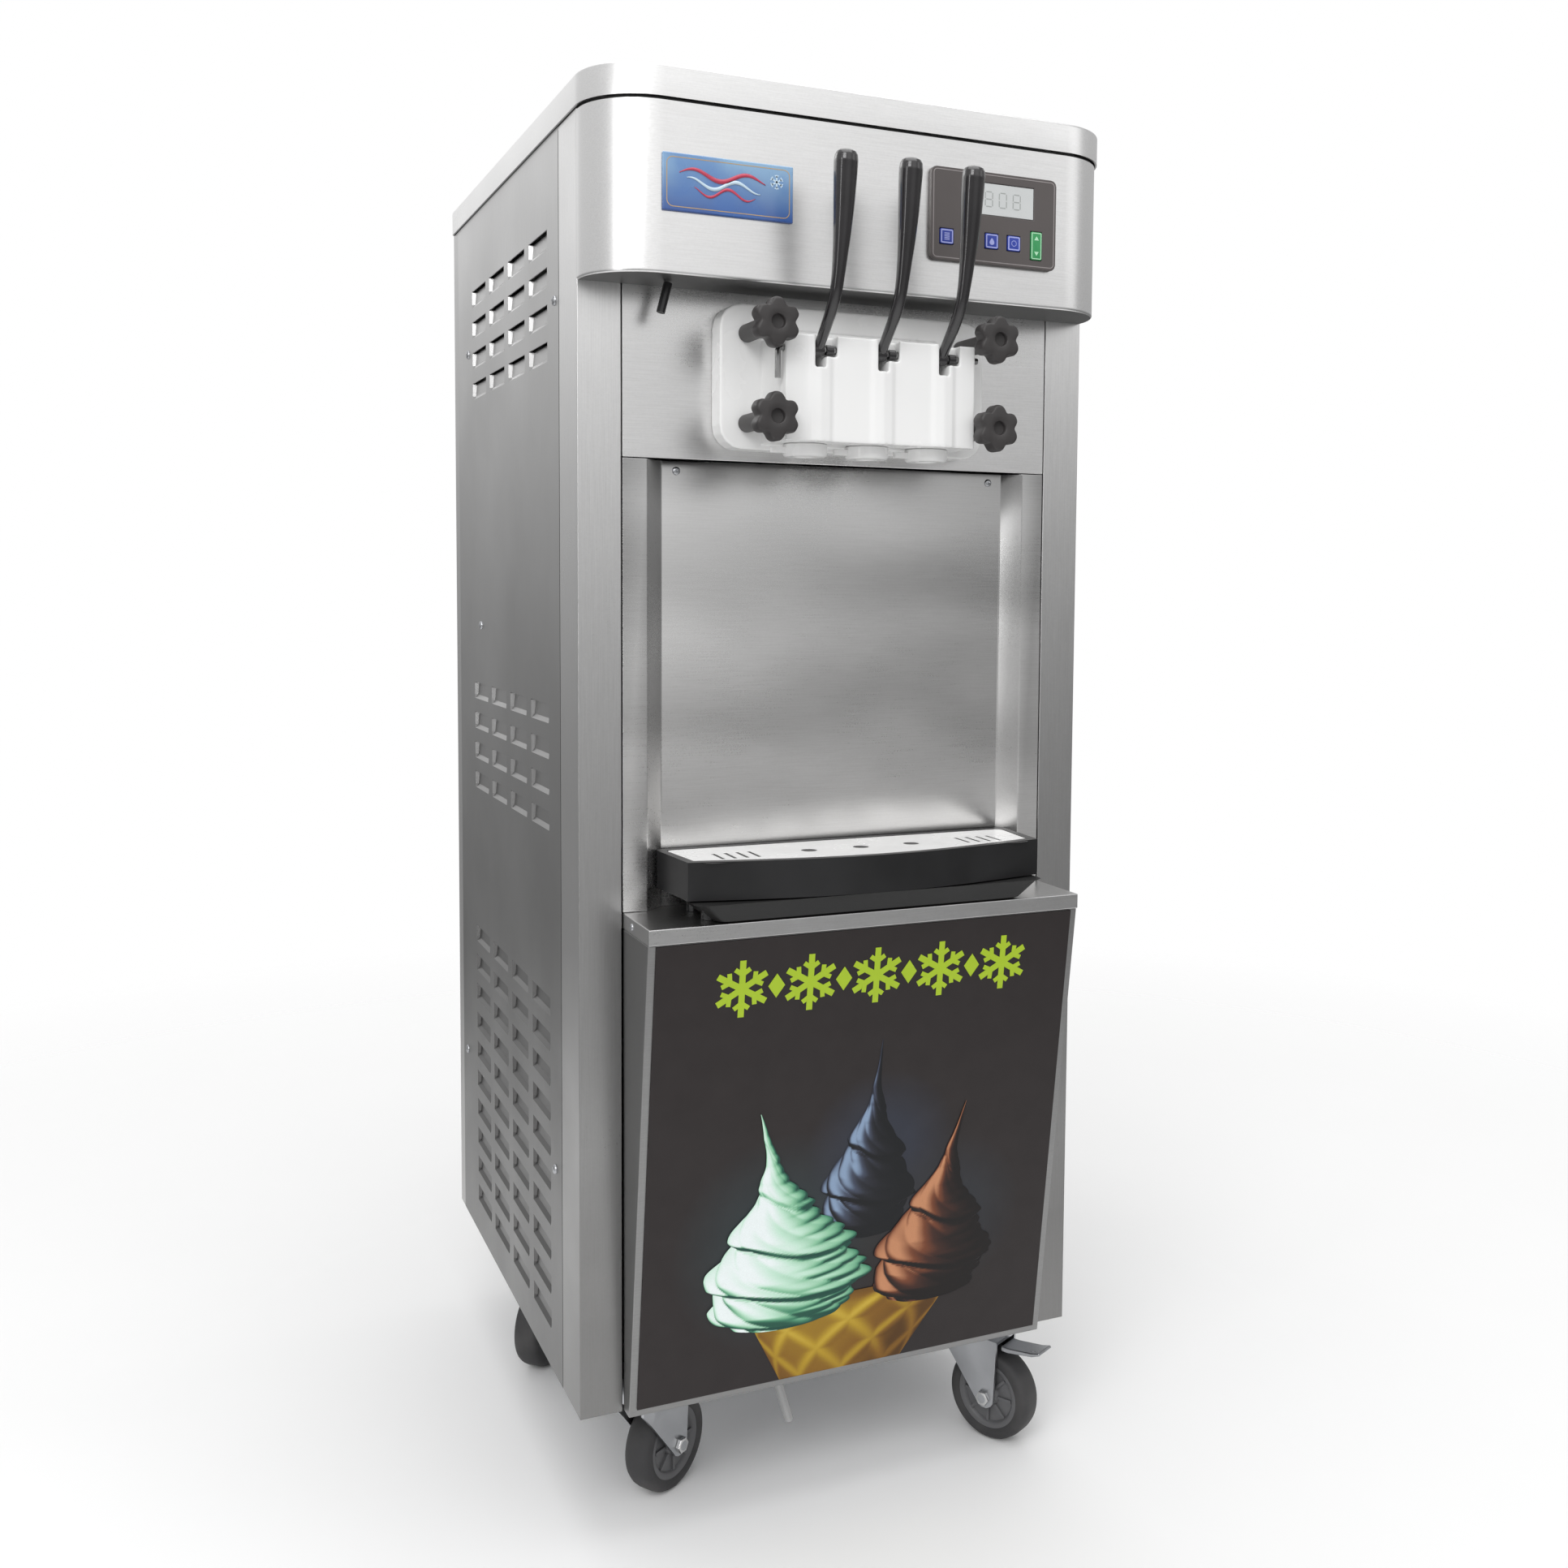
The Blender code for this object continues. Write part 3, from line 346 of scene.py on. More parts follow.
def brushed_steel(name, light, dark=None, rough=0.27, grain=(1, 1, 0.02), wave=0.0, levels=(0.2, 1.3),
                  painted_ripple_reflection=0.0):
    """Stainless sheet with a fine brushed grain and patches of wear; a given low tone paints a slow change of
    light and shade with height, and ripple bands paint wavy reflections.
    """
    made, tree, shader, coords = start_material(name, Metallic=1.0)
    lines = noise(tree, coords, 1100, grain, 3, 0.5)
    speckle = noise(tree, coords, 420, detail=4, rough=0.7)
    clouds = noise(tree, coords, 5, detail=4)
    fine = add(tree, "ShaderNodeMath",
               {0: spread(tree, lines, 0, 0.6), 1: spread(tree, speckle, 0, 0.4)}).outputs[0]
    tone = mix(tree, fine, grey(light * 0.87, 0.004), grey(light, 0.002))
    # Painted light and shade: the tone blends towards the low tone below the given heights, standing in for
    # reflected light that changes with height.
    if dark is not None:
        height = add(tree, "ShaderNodeSeparateXYZ", {"Vector": coords}).outputs[2]
        share = spread(tree, height, 1, 0, *levels)
        share = add(tree, "ShaderNodeMath",
                    {0: share, 1: spread(tree, clouds, -0.05, 0.05)}, use_clamp=True).outputs[0]
        tone = mix(tree, share, tone, mix(tree, fine, grey(dark * 0.91, 0.012), grey(dark, 0.008)))
    # Painted reflection: dark wavy bands multiplied into the tone stand in for the wavy reflections of the
    # sheet.
    if painted_ripple_reflection:
        local = add(tree, "ShaderNodeMapping", {"Vector": coords, "Scale": (0.55, 1, 1)}).outputs[0]
        bands = add(tree, "ShaderNodeTexWave",
                    {"Vector": local, "Scale": 2.3, "Distortion": 5.0, "Detail": 1.0, "Detail Scale": 3.0},
                    bands_direction="Z").outputs["Fac"]
        tone = mix(tree, spread(tree, bands, painted_ripple_reflection, 0, 0, 1), tone, grey(0.55), "MULTIPLY")
    wear = add(tree, "ShaderNodeMath", {0: spread(tree, fine, rough - 0.02, rough + 0.03, 0, 1),
                                        1: spread(tree, clouds, -0.03, 0.04)}).outputs[0]
    normal = bump(tree, lines, 0.06, 0.00010)
    if wave:
        slow = noise(tree, coords, 4.0, (0.5, 1.0, 1.7), 0.0, 0.4)
        normal = bump(tree, slow, wave, 0.04, normal)
    surface(tree, shader, tone, wear, normal)
    return made


def moulded(name, colour, rough, fleck=0.06, grain_scale=700, grain=0.08, coat=0.0, metallic=0.0, dust=None):
    """Plastic, rubber or paint: slight colour change, fine surface grain, and dust if it is given."""
    made, tree, shader, coords = start_material(name, Metallic=metallic, Coat_Weight=coat,
                                                Coat_Roughness=0.08)
    clouds = noise(tree, coords, 14, detail=5)
    fine = noise(tree, coords, grain_scale, detail=2)
    shade = tuple(c * (1 - fleck * 2) for c in colour[:3]) + (1,)
    tone = mix(tree, spread(tree, clouds, 0, 1), shade, colour)
    if dust:
        tone = mix(tree, spread(tree, clouds, 0, 0.5, 0.5, 0.75), tone, dust)
    surface(tree, shader, tone, spread(tree, clouds, max(rough - 0.05, 0.02), rough + 0.08),
            bump(tree, fine, grain, 0.0002))
    return made


STEEL_HEADER = brushed_steel("steel_header", 0.92, rough=0.30, grain=(0.03, 1, 1))
# Side, post, splash and back steel change tone with height: painted light and shade.
STEEL_SIDE = brushed_steel("steel_side", 0.70, 0.16, rough=0.33, levels=(0.40, 1.35))
STEEL_POST = brushed_steel("steel_post", 0.92, 0.25, rough=0.30, levels=(0.25, 1.25))
# The splash steel's dark wavy bands are painted reflection.
STEEL_SPLASH = brushed_steel("steel_splash", 0.52, 0.96, rough=0.28, grain=(0.03, 1, 1), wave=0.18,
                             levels=(0.68, 1.05), painted_ripple_reflection=0.38)
STEEL_FRONT = brushed_steel("steel_front", 0.84, rough=0.28, grain=(0.03, 1, 1), wave=0.08)
STEEL_SHELF = brushed_steel("steel_shelf", 0.62, rough=0.30, grain=(0.03, 1, 1))
STEEL_BACK = brushed_steel("steel_back", 0.66, 0.5, rough=0.36, levels=(0.2, 1.2))
STEEL_PART = brushed_steel("steel_part", 0.70, rough=0.24, grain=(1, 1, 1))
# Painted shade: a dark copy of the steel for the lower front panel, whose sides and rim lie in shade.
STEEL_DOOR_SHADED = brushed_steel("steel_door_shaded", 0.30, rough=0.34, grain=(0.03, 1, 1))
CHROME = brushed_steel("chrome_rod", 0.40, rough=0.16, grain=(1, 1, 1))
# Painted shade: a dark copy of the steel for the header's underside.
STEEL_UNDERSIDE_SHADE = brushed_steel("steel_underside_painted_shade", 0.16, rough=0.42, grain=(0.03, 1, 1))
ZINC = moulded("zinc_plate", (0.52, 0.53, 0.55, 1), 0.30, 0.12, 400, 0.12, metallic=1.0)
WHITE = moulded("white_plastic", (0.95, 0.95, 0.945, 1), 0.24, 0.012, 500, 0.03, coat=0.15)
LEVER_BLACK = moulded("lever_black", (0.028, 0.026, 0.028, 1), 0.16, 0.2, 900, 0.02, coat=0.6)
TRAY_BLACK = moulded("tray_black", (0.012, 0.012, 0.013, 1), 0.34, 0.2, 1200, 0.10)
KNOB_GREY = moulded("knob_grey", (0.045, 0.041, 0.041, 1), 0.46, 0.12, 1500, 0.22)
RUBBER = moulded("tyre_rubber", (0.040, 0.039, 0.041, 1), 0.62, 0.2, 900, 0.20, dust=(0.10, 0.095, 0.09, 1))
HUB_GREY = moulded("hub_grey", (0.12, 0.12, 0.125, 1), 0.42, 0.15, 800, 0.12)
GASKET = moulded("gasket_black", (0.015, 0.015, 0.015, 1), 0.55, 0.2, 900, 0.15)
CAST = moulded("cast_grey", (0.20, 0.21, 0.22, 1), 0.55, 0.15, 500, 0.4, metallic=0.3)
PAINT = moulded("compressor_paint", (0.02, 0.02, 0.02, 1), 0.30, 0.2, 300, 0.08, coat=0.3)
HOSE = moulded("hose_grey", (0.42, 0.42, 0.42, 1), 0.40, 0.1, 600, 0.08)
BEZEL = moulded("panel_brown", (0.105, 0.092, 0.090, 1), 0.40, 0.06, 1600, 0.06)
BEZEL_LINE = moulded("panel_line", (0.34, 0.31, 0.31, 1), 0.40, 0.04, 1600, 0.04)
KEY_BLUE = moulded("key_blue", (0.030, 0.060, 0.40, 1), 0.36, 0.20, 900, 0.05)
KEY_PALE = moulded("key_pale", (0.42, 0.46, 0.86, 1), 0.40, 0.08, 900, 0.03)
KEY_GREEN = moulded("key_green", (0.045, 0.36, 0.12, 1), 0.38, 0.12, 900, 0.05)
KEY_MINT = moulded("key_mint", (0.50, 0.86, 0.58, 1), 0.38, 0.05, 900, 0.03)
LCD = moulded("lcd_pane", (0.68, 0.70, 0.70, 1), 0.16, 0.04, 700, 0.02, coat=0.5)
LCD_INK = moulded("lcd_ink", (0.40, 0.42, 0.41, 1), 0.25, 0.02, 700, 0.02)
LIME = moulded("print_lime", (0.40, 0.57, 0.010, 1), 0.32, 0.03, 900, 0.02, coat=0.2)
GOLD = moulded("print_gold", (0.62, 0.42, 0.20, 1), 0.32, 0.08, 900, 0.03, metallic=0.4)


def print_material(name):
    """Printed film that takes its colour from the shading worked out for each point of the drawing."""
    made, tree, shader, coords = start_material(name, Specular_IOR_Level=0.3)
    ink = add(tree, "ShaderNodeAttribute", attribute_name="ink", attribute_type="GEOMETRY").outputs["Color"]
    grain = noise(tree, coords, 1400, detail=2)
    tone = mix(tree, spread(tree, grain, 0.0, 0.16), ink, grey(0.35), "MULTIPLY")
    surface(tree, shader, tone, spread(tree, grain, 0.28, 0.38))
    return made


def badge_material():
    """A blue badge that is lighter in the middle, with a soft sweep of light across it."""
    made, tree, shader, coords = start_material("badge_blue", Coat_Weight=0.4, Coat_Roughness=0.08)
    at = middle("nameplate")
    local = add(tree, "ShaderNodeMapping", {"Vector": coords, "Location": (-at.x, 0, -at.z)}).outputs[0]
    sweep = add(tree, "ShaderNodeTexWave", {"Vector": local, "Scale": 5.0, "Distortion": 3.0, "Detail": 2.0,
                                            "Detail Scale": 6.0}, bands_direction="DIAGONAL").outputs["Fac"]
    height = add(tree, "ShaderNodeSeparateXYZ", {"Vector": local}).outputs[2]
    glow = mix(tree, spread(tree, height, 0, 1, -0.028, 0.026), (0.02, 0.07, 0.30, 1), (0.28, 0.47, 0.68, 1))
    tone = mix(tree, spread(tree, sweep, 0, 0.5, 0.2, 1.0), glow, (0.04, 0.15, 0.46, 1))
    surface(tree, shader, tone, spread(tree, noise(tree, coords, 30), 0.18, 0.32))
    return made


PRINT = print_material("printed_film")
BADGE = badge_material()


# Cabinet

def louvred_panel(side, sign):
    """A side panel with scoops pressed into it, each open along its upper edge."""
    pitch = 0.036
    half_long, tall, deep, slit, toe, ends = 0.039, 0.0185, 0.0046, 0.0009, 0.0042, 0.0019
    columns = [depth(0.152 + 0.0985 * i) for i in range(4)]
    groups = ((1.2790, 4), (0.815, 4), (0.518, 10))
    tops = [highest - pitch * i for highest, rows in groups for i in range(rows)]
    ys = sorted([SIDE[0].y, SIDE[1].y] + [c + way * reach for c in columns for way in (-1, 1)
                                          for reach in (half_long, half_long - ends)])
    zs = sorted([SIDE[0].z, SIDE[1].z] + [top - tall + rise for top in tops
                                          for rise in (0, toe, tall, tall + slit)])

    def scoop(y, z):
        """How deep the pressing is here, and whether this point is on its free edge."""
        inset = max(half_long - abs(y - c) for c in columns)
        for top in tops:
            rise = z - top + tall
            if -1e-6 <= rise <= tall + 1e-6 and inset > -1e-6:
                slope = 0.62 * min(rise / toe, 1) + 0.38 * rise / tall
                return deep * max(0.0, min(slope, inset / ends)), rise > tall - 1e-6
        return 0.0, False

    bm = bmesh.new()
    grid, on_edge = [], []
    for z in zs:
        facts = [scoop(y, z) for y in ys]
        grid.append([bm.verts.new((sign * (HALF - d), y, z)) for y, (d, _) in zip(ys, facts)])
        on_edge.append([edge and d > 1e-6 for d, edge in facts])
    for i in range(len(zs) - 1):
        for j in range(len(ys) - 1):
            if on_edge[i][j] or on_edge[i][j + 1]:
                continue
            ring = (grid[i][j], grid[i][j + 1], grid[i + 1][j + 1], grid[i + 1][j])
            bm.faces.new(ring if sign > 0 else reversed(ring))
    fold = 0.012
    for j in (0, len(ys) - 1):
        inner = [bm.verts.new((sign * (HALF - fold), row[j].co.y, row[j].co.z)) for row in grid]
        for i in range(len(zs) - 1):
            ring = (grid[i][j], grid[i + 1][j], inner[i + 1], inner[i])
            bm.faces.new(ring if (sign > 0) == (j == 0) else reversed(ring))
    sheet(finished(f"side_panel_{side}", bm, STEEL_SIDE), 0.0011, 8)


def screw_head(place, axis, radius, bm):
    """A pan-head screw with a cross recess; axis points out of the panel."""
    at = Matrix.Translation(place) @ Vector(axis).to_track_quat("Z", "Y").to_matrix().to_4x4()
    profile = [(0.9999, 0.0), (0.96, 0.20), (0.80, 0.36), (0.50, 0.46), (0.30, 0.48)]
    steps = 16
    rings = [ring(radius * r, radius * h, steps) for r, h in profile]
    recess = [radius * (0.24 if i % 4 == 0 else 0.09) for i in range(steps)]
    rings.append([(r * math.cos(t), r * math.sin(t), radius * 0.30) for r, t in zip(recess, around(steps))])
    skin(rings, bm=bm, place=at)


def screws():
    bm = bmesh.new()
    for _, sign in SIDES:
        face = sign * HALF
        for offset, z in ((0.084, 1.207), (0.512, 1.209), (0.446, 0.885), (0.547, 0.348), (0.095, 0.349)):
            screw_head((face, depth(offset), z), (sign, 0, 0), 0.0051, bm)
        screw_head((sign * (-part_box("shelf_cap")[0].x), depth(-0.030), 0.6165), (sign, 0, 0), 0.0035, bm)
        screw_head((sign * 0.170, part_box("splash_panel")[0].y + 0.0150, 1.044), (0, -1, 0), 0.0040, bm)
    for x in (-0.20, 0.20):
        for z in (0.24, 0.72, 1.20):
            screw_head((x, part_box("rear_panel")[1].y - 0.0110, z), (0, 1, 0), 0.0048, bm)
    piece("panel_screws", bm, ZINC, angle=40)


def panel_seams():
    """The dark joints between the side panels and the corner posts."""
    bm = bmesh.new()
    for _, sign in SIDES:
        x, y = sign * (HALF + 0.0001), POST[1].y
        outline = [(y - 0.0005, BASE_Z + 0.002), (y + 0.0005, BASE_Z + 0.002), (y + 0.0005, LID_Z - 0.004),
                   (y - 0.0005, LID_Z - 0.004)]
        rings = [[(x - sign * inset, a, b) for a, b in outline] for inset in (0.0010, 0.0)]
        skin(rings, bm=bm)
    piece("panel_seams", outward(bm), GASKET)


def cabinet():
    panel_seams()
    for side, sign in SIDES:
        louvred_panel(side, sign)
        refined(f"corner_post_{side}", STEEL_POST, 0.0012, 3)
    refined("rear_panel", STEEL_BACK, 0.0006)
    refined("splash_panel", STEEL_SPLASH, 0.0009, 3, 8)
    refined("upper_front_panel", STEEL_FRONT, 0.0008)
    refined("shelf_cap", STEEL_SHELF, 0.0012, 3)
    # The lower front panel's steel is darkened as painted shade.
    refined("lower_front_panel", STEEL_DOOR_SHADED, 0.0010, 3)
    screws()
    header()
    cover()


def front_outline(half, front, radius, back):
    """A plan with a straight back and two large front corners."""
    return ([(half, back), (-half, back)] + arc(-half + radius, front + radius, radius, 180, 270, 20)
            + arc(half - radius, front + radius, radius, 270, 360, 20))


def header():
    """The rounded front cover, closed below, its underside in a dark steel that paints its shade, with a dark
    joint under the lid.
    """
    radius, joint, edge = 0.062, 0.0022, 0.0022
    front, back = HEADER[0].y, HEADER[1].y
    low, high = HEADER[0].z, HEADER[1].z - joint
    rings = []
    for i in range(5):
        turn = math.pi / 2 * i / 4
        inset = edge * (1 - math.sin(turn))
        rings.append([(x, y, low + edge * (1 - math.cos(turn)))
                      for x, y in front_outline(HALF - inset, front + inset, radius - inset, back)])
    rings += [[(x, y, z) for x, y in front_outline(HALF, front, radius, back)]
              for z in (low + edge + 0.001, high)]
    bm = skin(rings, caps=(True, False))
    rear = [f for f in bm.faces if abs(f.normal.y) > 0 and all(v.co.y > back - 1e-5 for v in f.verts)]
    bmesh.ops.delete(bm, geom=rear, context="FACES")
    bmesh.ops.recalc_face_normals(bm, faces=bm.faces)
    item = finished("header_cover", bm, STEEL_HEADER)
    # Faces that look down take the dark steel: painted shade.
    item.data.materials.append(STEEL_UNDERSIDE_SHADE)
    for face in item.data.polygons:
        face.material_index = int(face.normal.z < -0.9)
    sheet(item, 0.0016)
    inset = 0.0012
    outer = front_outline(HALF - inset, front + inset, radius - inset, depth(0.597))
    inner = front_outline(HALF - 0.006, front + 0.006, radius - 0.006, depth(0.592))
    rings = [[(x, y, z) for x, y in plan] for plan, z in ((outer, high), (outer, high + joint + 0.0002),
                                                          (inner, high + joint + 0.0002), (inner, high),
                                                          (outer, high))]
    piece("lid_joint", outward(skin(rings, caps=(False, False))), GASKET)


def cover():
    """The pressed lid of the cabinet, with its opening over the hopper."""
    half, front, back, radius, edge = COVER[1].x, COVER[0].y, COVER[1].y, 0.0645, 0.0022
    corner = 0.008

    def plan(inset):
        x, y0, y1, r, c = half - inset, front + inset, back - inset, radius - inset, corner - inset
        return (arc(x - c, y1 - c, c, 0, 90, 5) + arc(-x + c, y1 - c, c, 90, 180, 5)
                + arc(-x + r, y0 + r, r, 180, 270, 20) + arc(x - r, y0 + r, r, 270, 360, 20))

    rings = [[(x, y, LID_Z) for x, y in plan(0)]]
    for i in range(5):
        turn = math.pi / 2 * i / 4
        rings.append([(x, y, TOP_Z - edge + edge * math.sin(turn))
                      for x, y in plan(edge * (1 - math.cos(turn)))])
    bm = skin(rings, caps=(False, True))
    item = finished("top_cover", outward(bm), STEEL_HEADER)
    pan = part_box("hopper_pan")
    ledge = 0.009
    hole = bmesh.new()
    add_box(hole, (pan[0].x + ledge, pan[0].y + ledge, TOP_Z - 0.025),
            (pan[1].x - ledge, pan[1].y - ledge, TOP_Z + 0.025))
    cutter = linked("cover_hole", hole)
    solid = item.modifiers.new("thickness", "SOLIDIFY")
    solid.thickness, solid.offset = 0.0018, -1
    cut = item.modifiers.new("opening", "BOOLEAN")
    cut.operation, cut.object, cut.solver = "DIFFERENCE", cutter, "EXACT"
    evaluated_mesh(item)
    bpy.data.objects.remove(cutter)
    crisp(item, 30)


# Door picture: a generic soft-serve drawing of this script's own, in relief of a fraction of a millimetre

def door_plane():
    """Local axes of the door picture: u across, v up the slope, w outwards, from the foot of the panel."""
    points = [v.co for v in NODES["graphic_panel"].data.vertices]
    foot = min(points, key=lambda p: p.z)
    head = min(points, key=lambda p: p.y)
    up = Vector((0, head.y - foot.y, head.z - foot.z))
    up.normalize()
    out = Vector((0, -up.z, up.y))
    axes = Matrix((Vector((1, 0, 0)), up, out)).transposed().to_4x4()
    return Matrix.Translation((0, foot.y, foot.z)) @ axes


DOOR = door_plane()
LIGHT = Vector((-0.55, 0.55, 0.63)).normalized()


def shaded_sheet(name, rows, ink, lift):
    """A drawing made from a solid form: each point is shaded as the form would be, then pressed flat."""
    relief = 0.00025
    bm = bmesh.new()
    layer = bm.verts.layers.float_color.new("ink")
    count_v, count_u = len(rows), len(rows[0])
    top = max(p.z for row in rows for p in row) or 1
    verts = []
    for j in range(count_v):
        line = []
        for i in range(count_u):
            here = rows[j][i]
            across = rows[j][min(i + 1, count_u - 1)] - rows[j][max(i - 1, 0)]
            along = rows[min(j + 1, count_v - 1)][i] - rows[max(j - 1, 0)][i]
            normal = across.cross(along)
            normal = normal.normalized() if normal.length > 1e-12 else Vector((0, 0, 1))
            light = max(0.0, normal.dot(LIGHT))
            vert = bm.verts.new(DOOR @ Vector((here.x, here.y, lift + relief * max(here.z, 0) / top)))
            vert[layer] = (*ink(light, i / (count_u - 1), j / (count_v - 1)), 1)
            line.append(vert)
        verts.append(line)
    for j in range(count_v - 1):
        for i in range(count_u - 1):
            bm.faces.new((verts[j][i], verts[j][i + 1], verts[j + 1][i + 1], verts[j + 1][i]))
    return piece(name, bm, PRINT, angle=180)


def blend_ink(stops, share):
    share = max(0.0, min(1.0, share)) * (len(stops) - 1)
    i = min(int(share), len(stops) - 2)
    part = share - i
    return tuple(a + (b - a) * part for a, b in zip(stops[i], stops[i + 1]))


SWIRL_OUTLINE = (0.74, 0.93, 1.0, 0.97, 0.86, 0.70, 0.51, 0.33, 0.19, 0.10, 0.055, 0.028, 0.006)


def swirl(name, foot, tip, wide, turns, stops, lift, flutes=9, ruffle=0.0, contrast=1.3):
    """One soft-serve swirl: a domed coil of sharp folds, its tip drawn out to a point."""
    count_v, count_u = 190, 72
    tall = tip[1] - foot[1]
    rows = []
    for j in range(count_v + 1):
        v = j / count_v
        k = min(int(v * (len(SWIRL_OUTLINE) - 1)), len(SWIRL_OUTLINE) - 2)
        part = v * (len(SWIRL_OUTLINE) - 1) - k
        part = part * part * (3 - 2 * part) * 0.3 + part * 0.7
        taper = SWIRL_OUTLINE[k] + (SWIRL_OUTLINE[k + 1] - SWIRL_OUTLINE[k]) * part
        line = []
        for i in range(count_u + 1):
            turn = math.pi * (i / count_u - 0.5)
            phase = (turns * v ** 0.85 + turn / (2 * math.pi) * 1.1 + 0.06 * math.sin(3 * turn)) % 1.0
            coil = (1 - phase) ** 0.6 * min(1.0, phase * 9)
            fold = abs(math.sin(flutes / 2 * (turn + 7.0 * v)))
            edge = ruffle * max(0.0, math.sin(turn)) ** 2 * abs(math.sin(2 * math.pi * turns * 2.2 * v))
            radius = wide / 2 * taper * (0.78 + 0.18 * coil + 0.08 * fold * (1 - v) + edge)
            sway = (tip[0] - foot[0]) * v ** 2.0 - 0.02 * wide * math.sin(2 * math.pi * turns * v) * (1 - v)
            line.append(Vector((foot[0] + sway + radius * math.sin(turn), foot[1] + tall * v
                                - 0.12 * wide * taper * math.cos(turn), radius * math.cos(turn))))
        rows.append(line)

    def ink(light, u, v):
        rim = abs(2 * u - 1) ** 3
        phase = (turns * v ** 0.85 + (u - 0.5) / 2 * 1.1) % 1.0
        shadow = 0.30 * max(0.0, 1 - phase * 6) * (1 - v)
        return blend_ink(stops, 0.03 + 1.05 * light ** contrast - 0.20 * rim - shadow)

    return shaded_sheet(name, rows, ink, lift)


def wafer_cone(name, lift):
    """The waffle cone below the swirls, cut off by the foot of the panel."""
    left, right = (-0.118, -0.074), (0.122, 0.060)
    high, low = 0.088, 0.0015
    count_v, count_u = 60, 110
    rows = []
    for j in range(count_v + 1):
        v = j / count_v
        x0, x1 = left[1] + (left[0] - left[1]) * v, right[1] + (right[0] - right[1]) * v
        line = []
        for i in range(count_u + 1):
            turn = math.pi * (i / count_u - 0.5)
            x = (x0 + x1) / 2 + (x1 - x0) / 2 * math.sin(turn)
            y = low + (high - low) * v - 0.004 * math.cos(turn)
            a, b = (turn * 4.2 + y * 60), (turn * 4.2 - y * 60)
            ridge = max(math.cos(a) ** 8, math.cos(b) ** 8)
            line.append(Vector((x, max(y, 0.0008), 0.07 * math.cos(turn) + 0.0028 * ridge)))
        rows.append(line)
    stops = ((0.05, 0.018, 0.002), (0.22, 0.10, 0.010), (0.46, 0.29, 0.02), (0.72, 0.52, 0.07))

    def ink(light, u, v):
        turn, y = math.pi * (u - 0.5), low + (high - low) * v - 0.004 * math.cos(math.pi * (u - 0.5))
        ridge = max(math.cos(turn * 4.2 + y * 60) ** 8, math.cos(turn * 4.2 - y * 60) ** 8)
        shadow = 0.35 * max(0, 5 * v - 4.2)
        return blend_ink(stops, (0.10 + 0.62 * light + 0.38 * ridge) * (0.62 + 0.38 * v) - shadow)

    return shaded_sheet(name, rows, ink, lift)


def bar(cx, cz, length, width, turn):
    """A thin rectangle centred on a point, turned in its plane."""
    ux, uz = math.cos(turn) * length / 2, math.sin(turn) * length / 2
    vx, vz = -math.sin(turn) * width / 2, math.cos(turn) * width / 2
    return [(cx - ux - vx, cz - uz - vz), (cx + ux - vx, cz + uz - vz), (cx + ux + vx, cz + uz + vz),
            (cx - ux + vx, cz - uz + vz)]


def star_bars(cx, cz, length, width):
    return [bar(cx, cz, length, width, math.radians(60 * i + 30)) for i in range(3)]


def crystal(cx, cz, length, width, out, shift, twig, twig_width, lean):
    """Outlines of a snow crystal: three long bars, and two leaning twigs on each of the six arms."""
    shapes = star_bars(cx, cz, length, width)
    for i in range(6):
        turn = math.radians(60 * i + 30)
        for tilt in (turn - math.radians(lean), turn + math.radians(lean)):
            shapes.append(bar(cx + out * math.cos(turn) + shift * math.cos(tilt),
                              cz + out * math.sin(turn) + shift * math.sin(tilt), twig, twig_width, tilt))
    return shapes


def lime_border():
    """A row of snow crystals and rhombs, where a maker would print a name."""
    low, high, start, end, count = 0.391, 0.447, -0.163, 0.171, 5
    half, middle_v = (high - low) / 2, (high + low) / 2
    pitch = (end - start - 2 * half) / (count - 1)
    bm = bmesh.new()
    for k in range(count):
        cx = start + half + pitch * k
        shapes = crystal(cx, middle_v, 2 * half, 0.0062, 0.0142, 0.0042, 0.0100, 0.0046, 55)
        if k < count - 1:
            x, rx, rv = cx + pitch / 2, 0.0085, 0.0120
            shapes.append([(x + rx, middle_v), (x, middle_v + rv), (x - rx, middle_v), (x, middle_v - rv)])
        for i, outline in enumerate(shapes):
            slab(outline, 0.0001, 0.00030 + 0.00001 * i, bm=bm, place=DOOR)
    piece("graphic_border", outward(bm), LIME)


def graphic_material():
    """Dark brown film with a faint cool glow behind the drawing."""
    made, tree, shader, coords = start_material("door_film", Specular_IOR_Level=0.22)
    tone = (0.030, 0.025, 0.025, 1)
    for (x, v, size), glow in (((-0.078, 0.150, 0.105), (0.034, 0.044, 0.048, 1)),
                               ((0.022, 0.235, 0.075), (0.036, 0.040, 0.056, 1)),
                               ((0.100, 0.150, 0.080), (0.034, 0.036, 0.042, 1))):
        at = DOOR @ Vector((x, v, 0))
        local = add(tree, "ShaderNodeMapping", {"Vector": coords, "Location": (-at.x / size, 0, -at.z / size),
                                                "Scale": (1 / size, 0, 1 / size)}).outputs[0]
        reach = add(tree, "ShaderNodeVectorMath", {0: local}, operation="LENGTH").outputs["Value"]
        tone = mix(tree, spread(tree, reach, 1, 0, 0.45, 1.1), tone, glow)
    mottle = noise(tree, coords, 40, detail=3)
    tone = mix(tree, spread(tree, mottle, 0, 0.2), tone, grey(0.5), "MULTIPLY")
    surface(tree, shader, tone, spread(tree, mottle, 0.28, 0.38),
            bump(tree, noise(tree, coords, 700), 0.03, 0.0002))
    return made


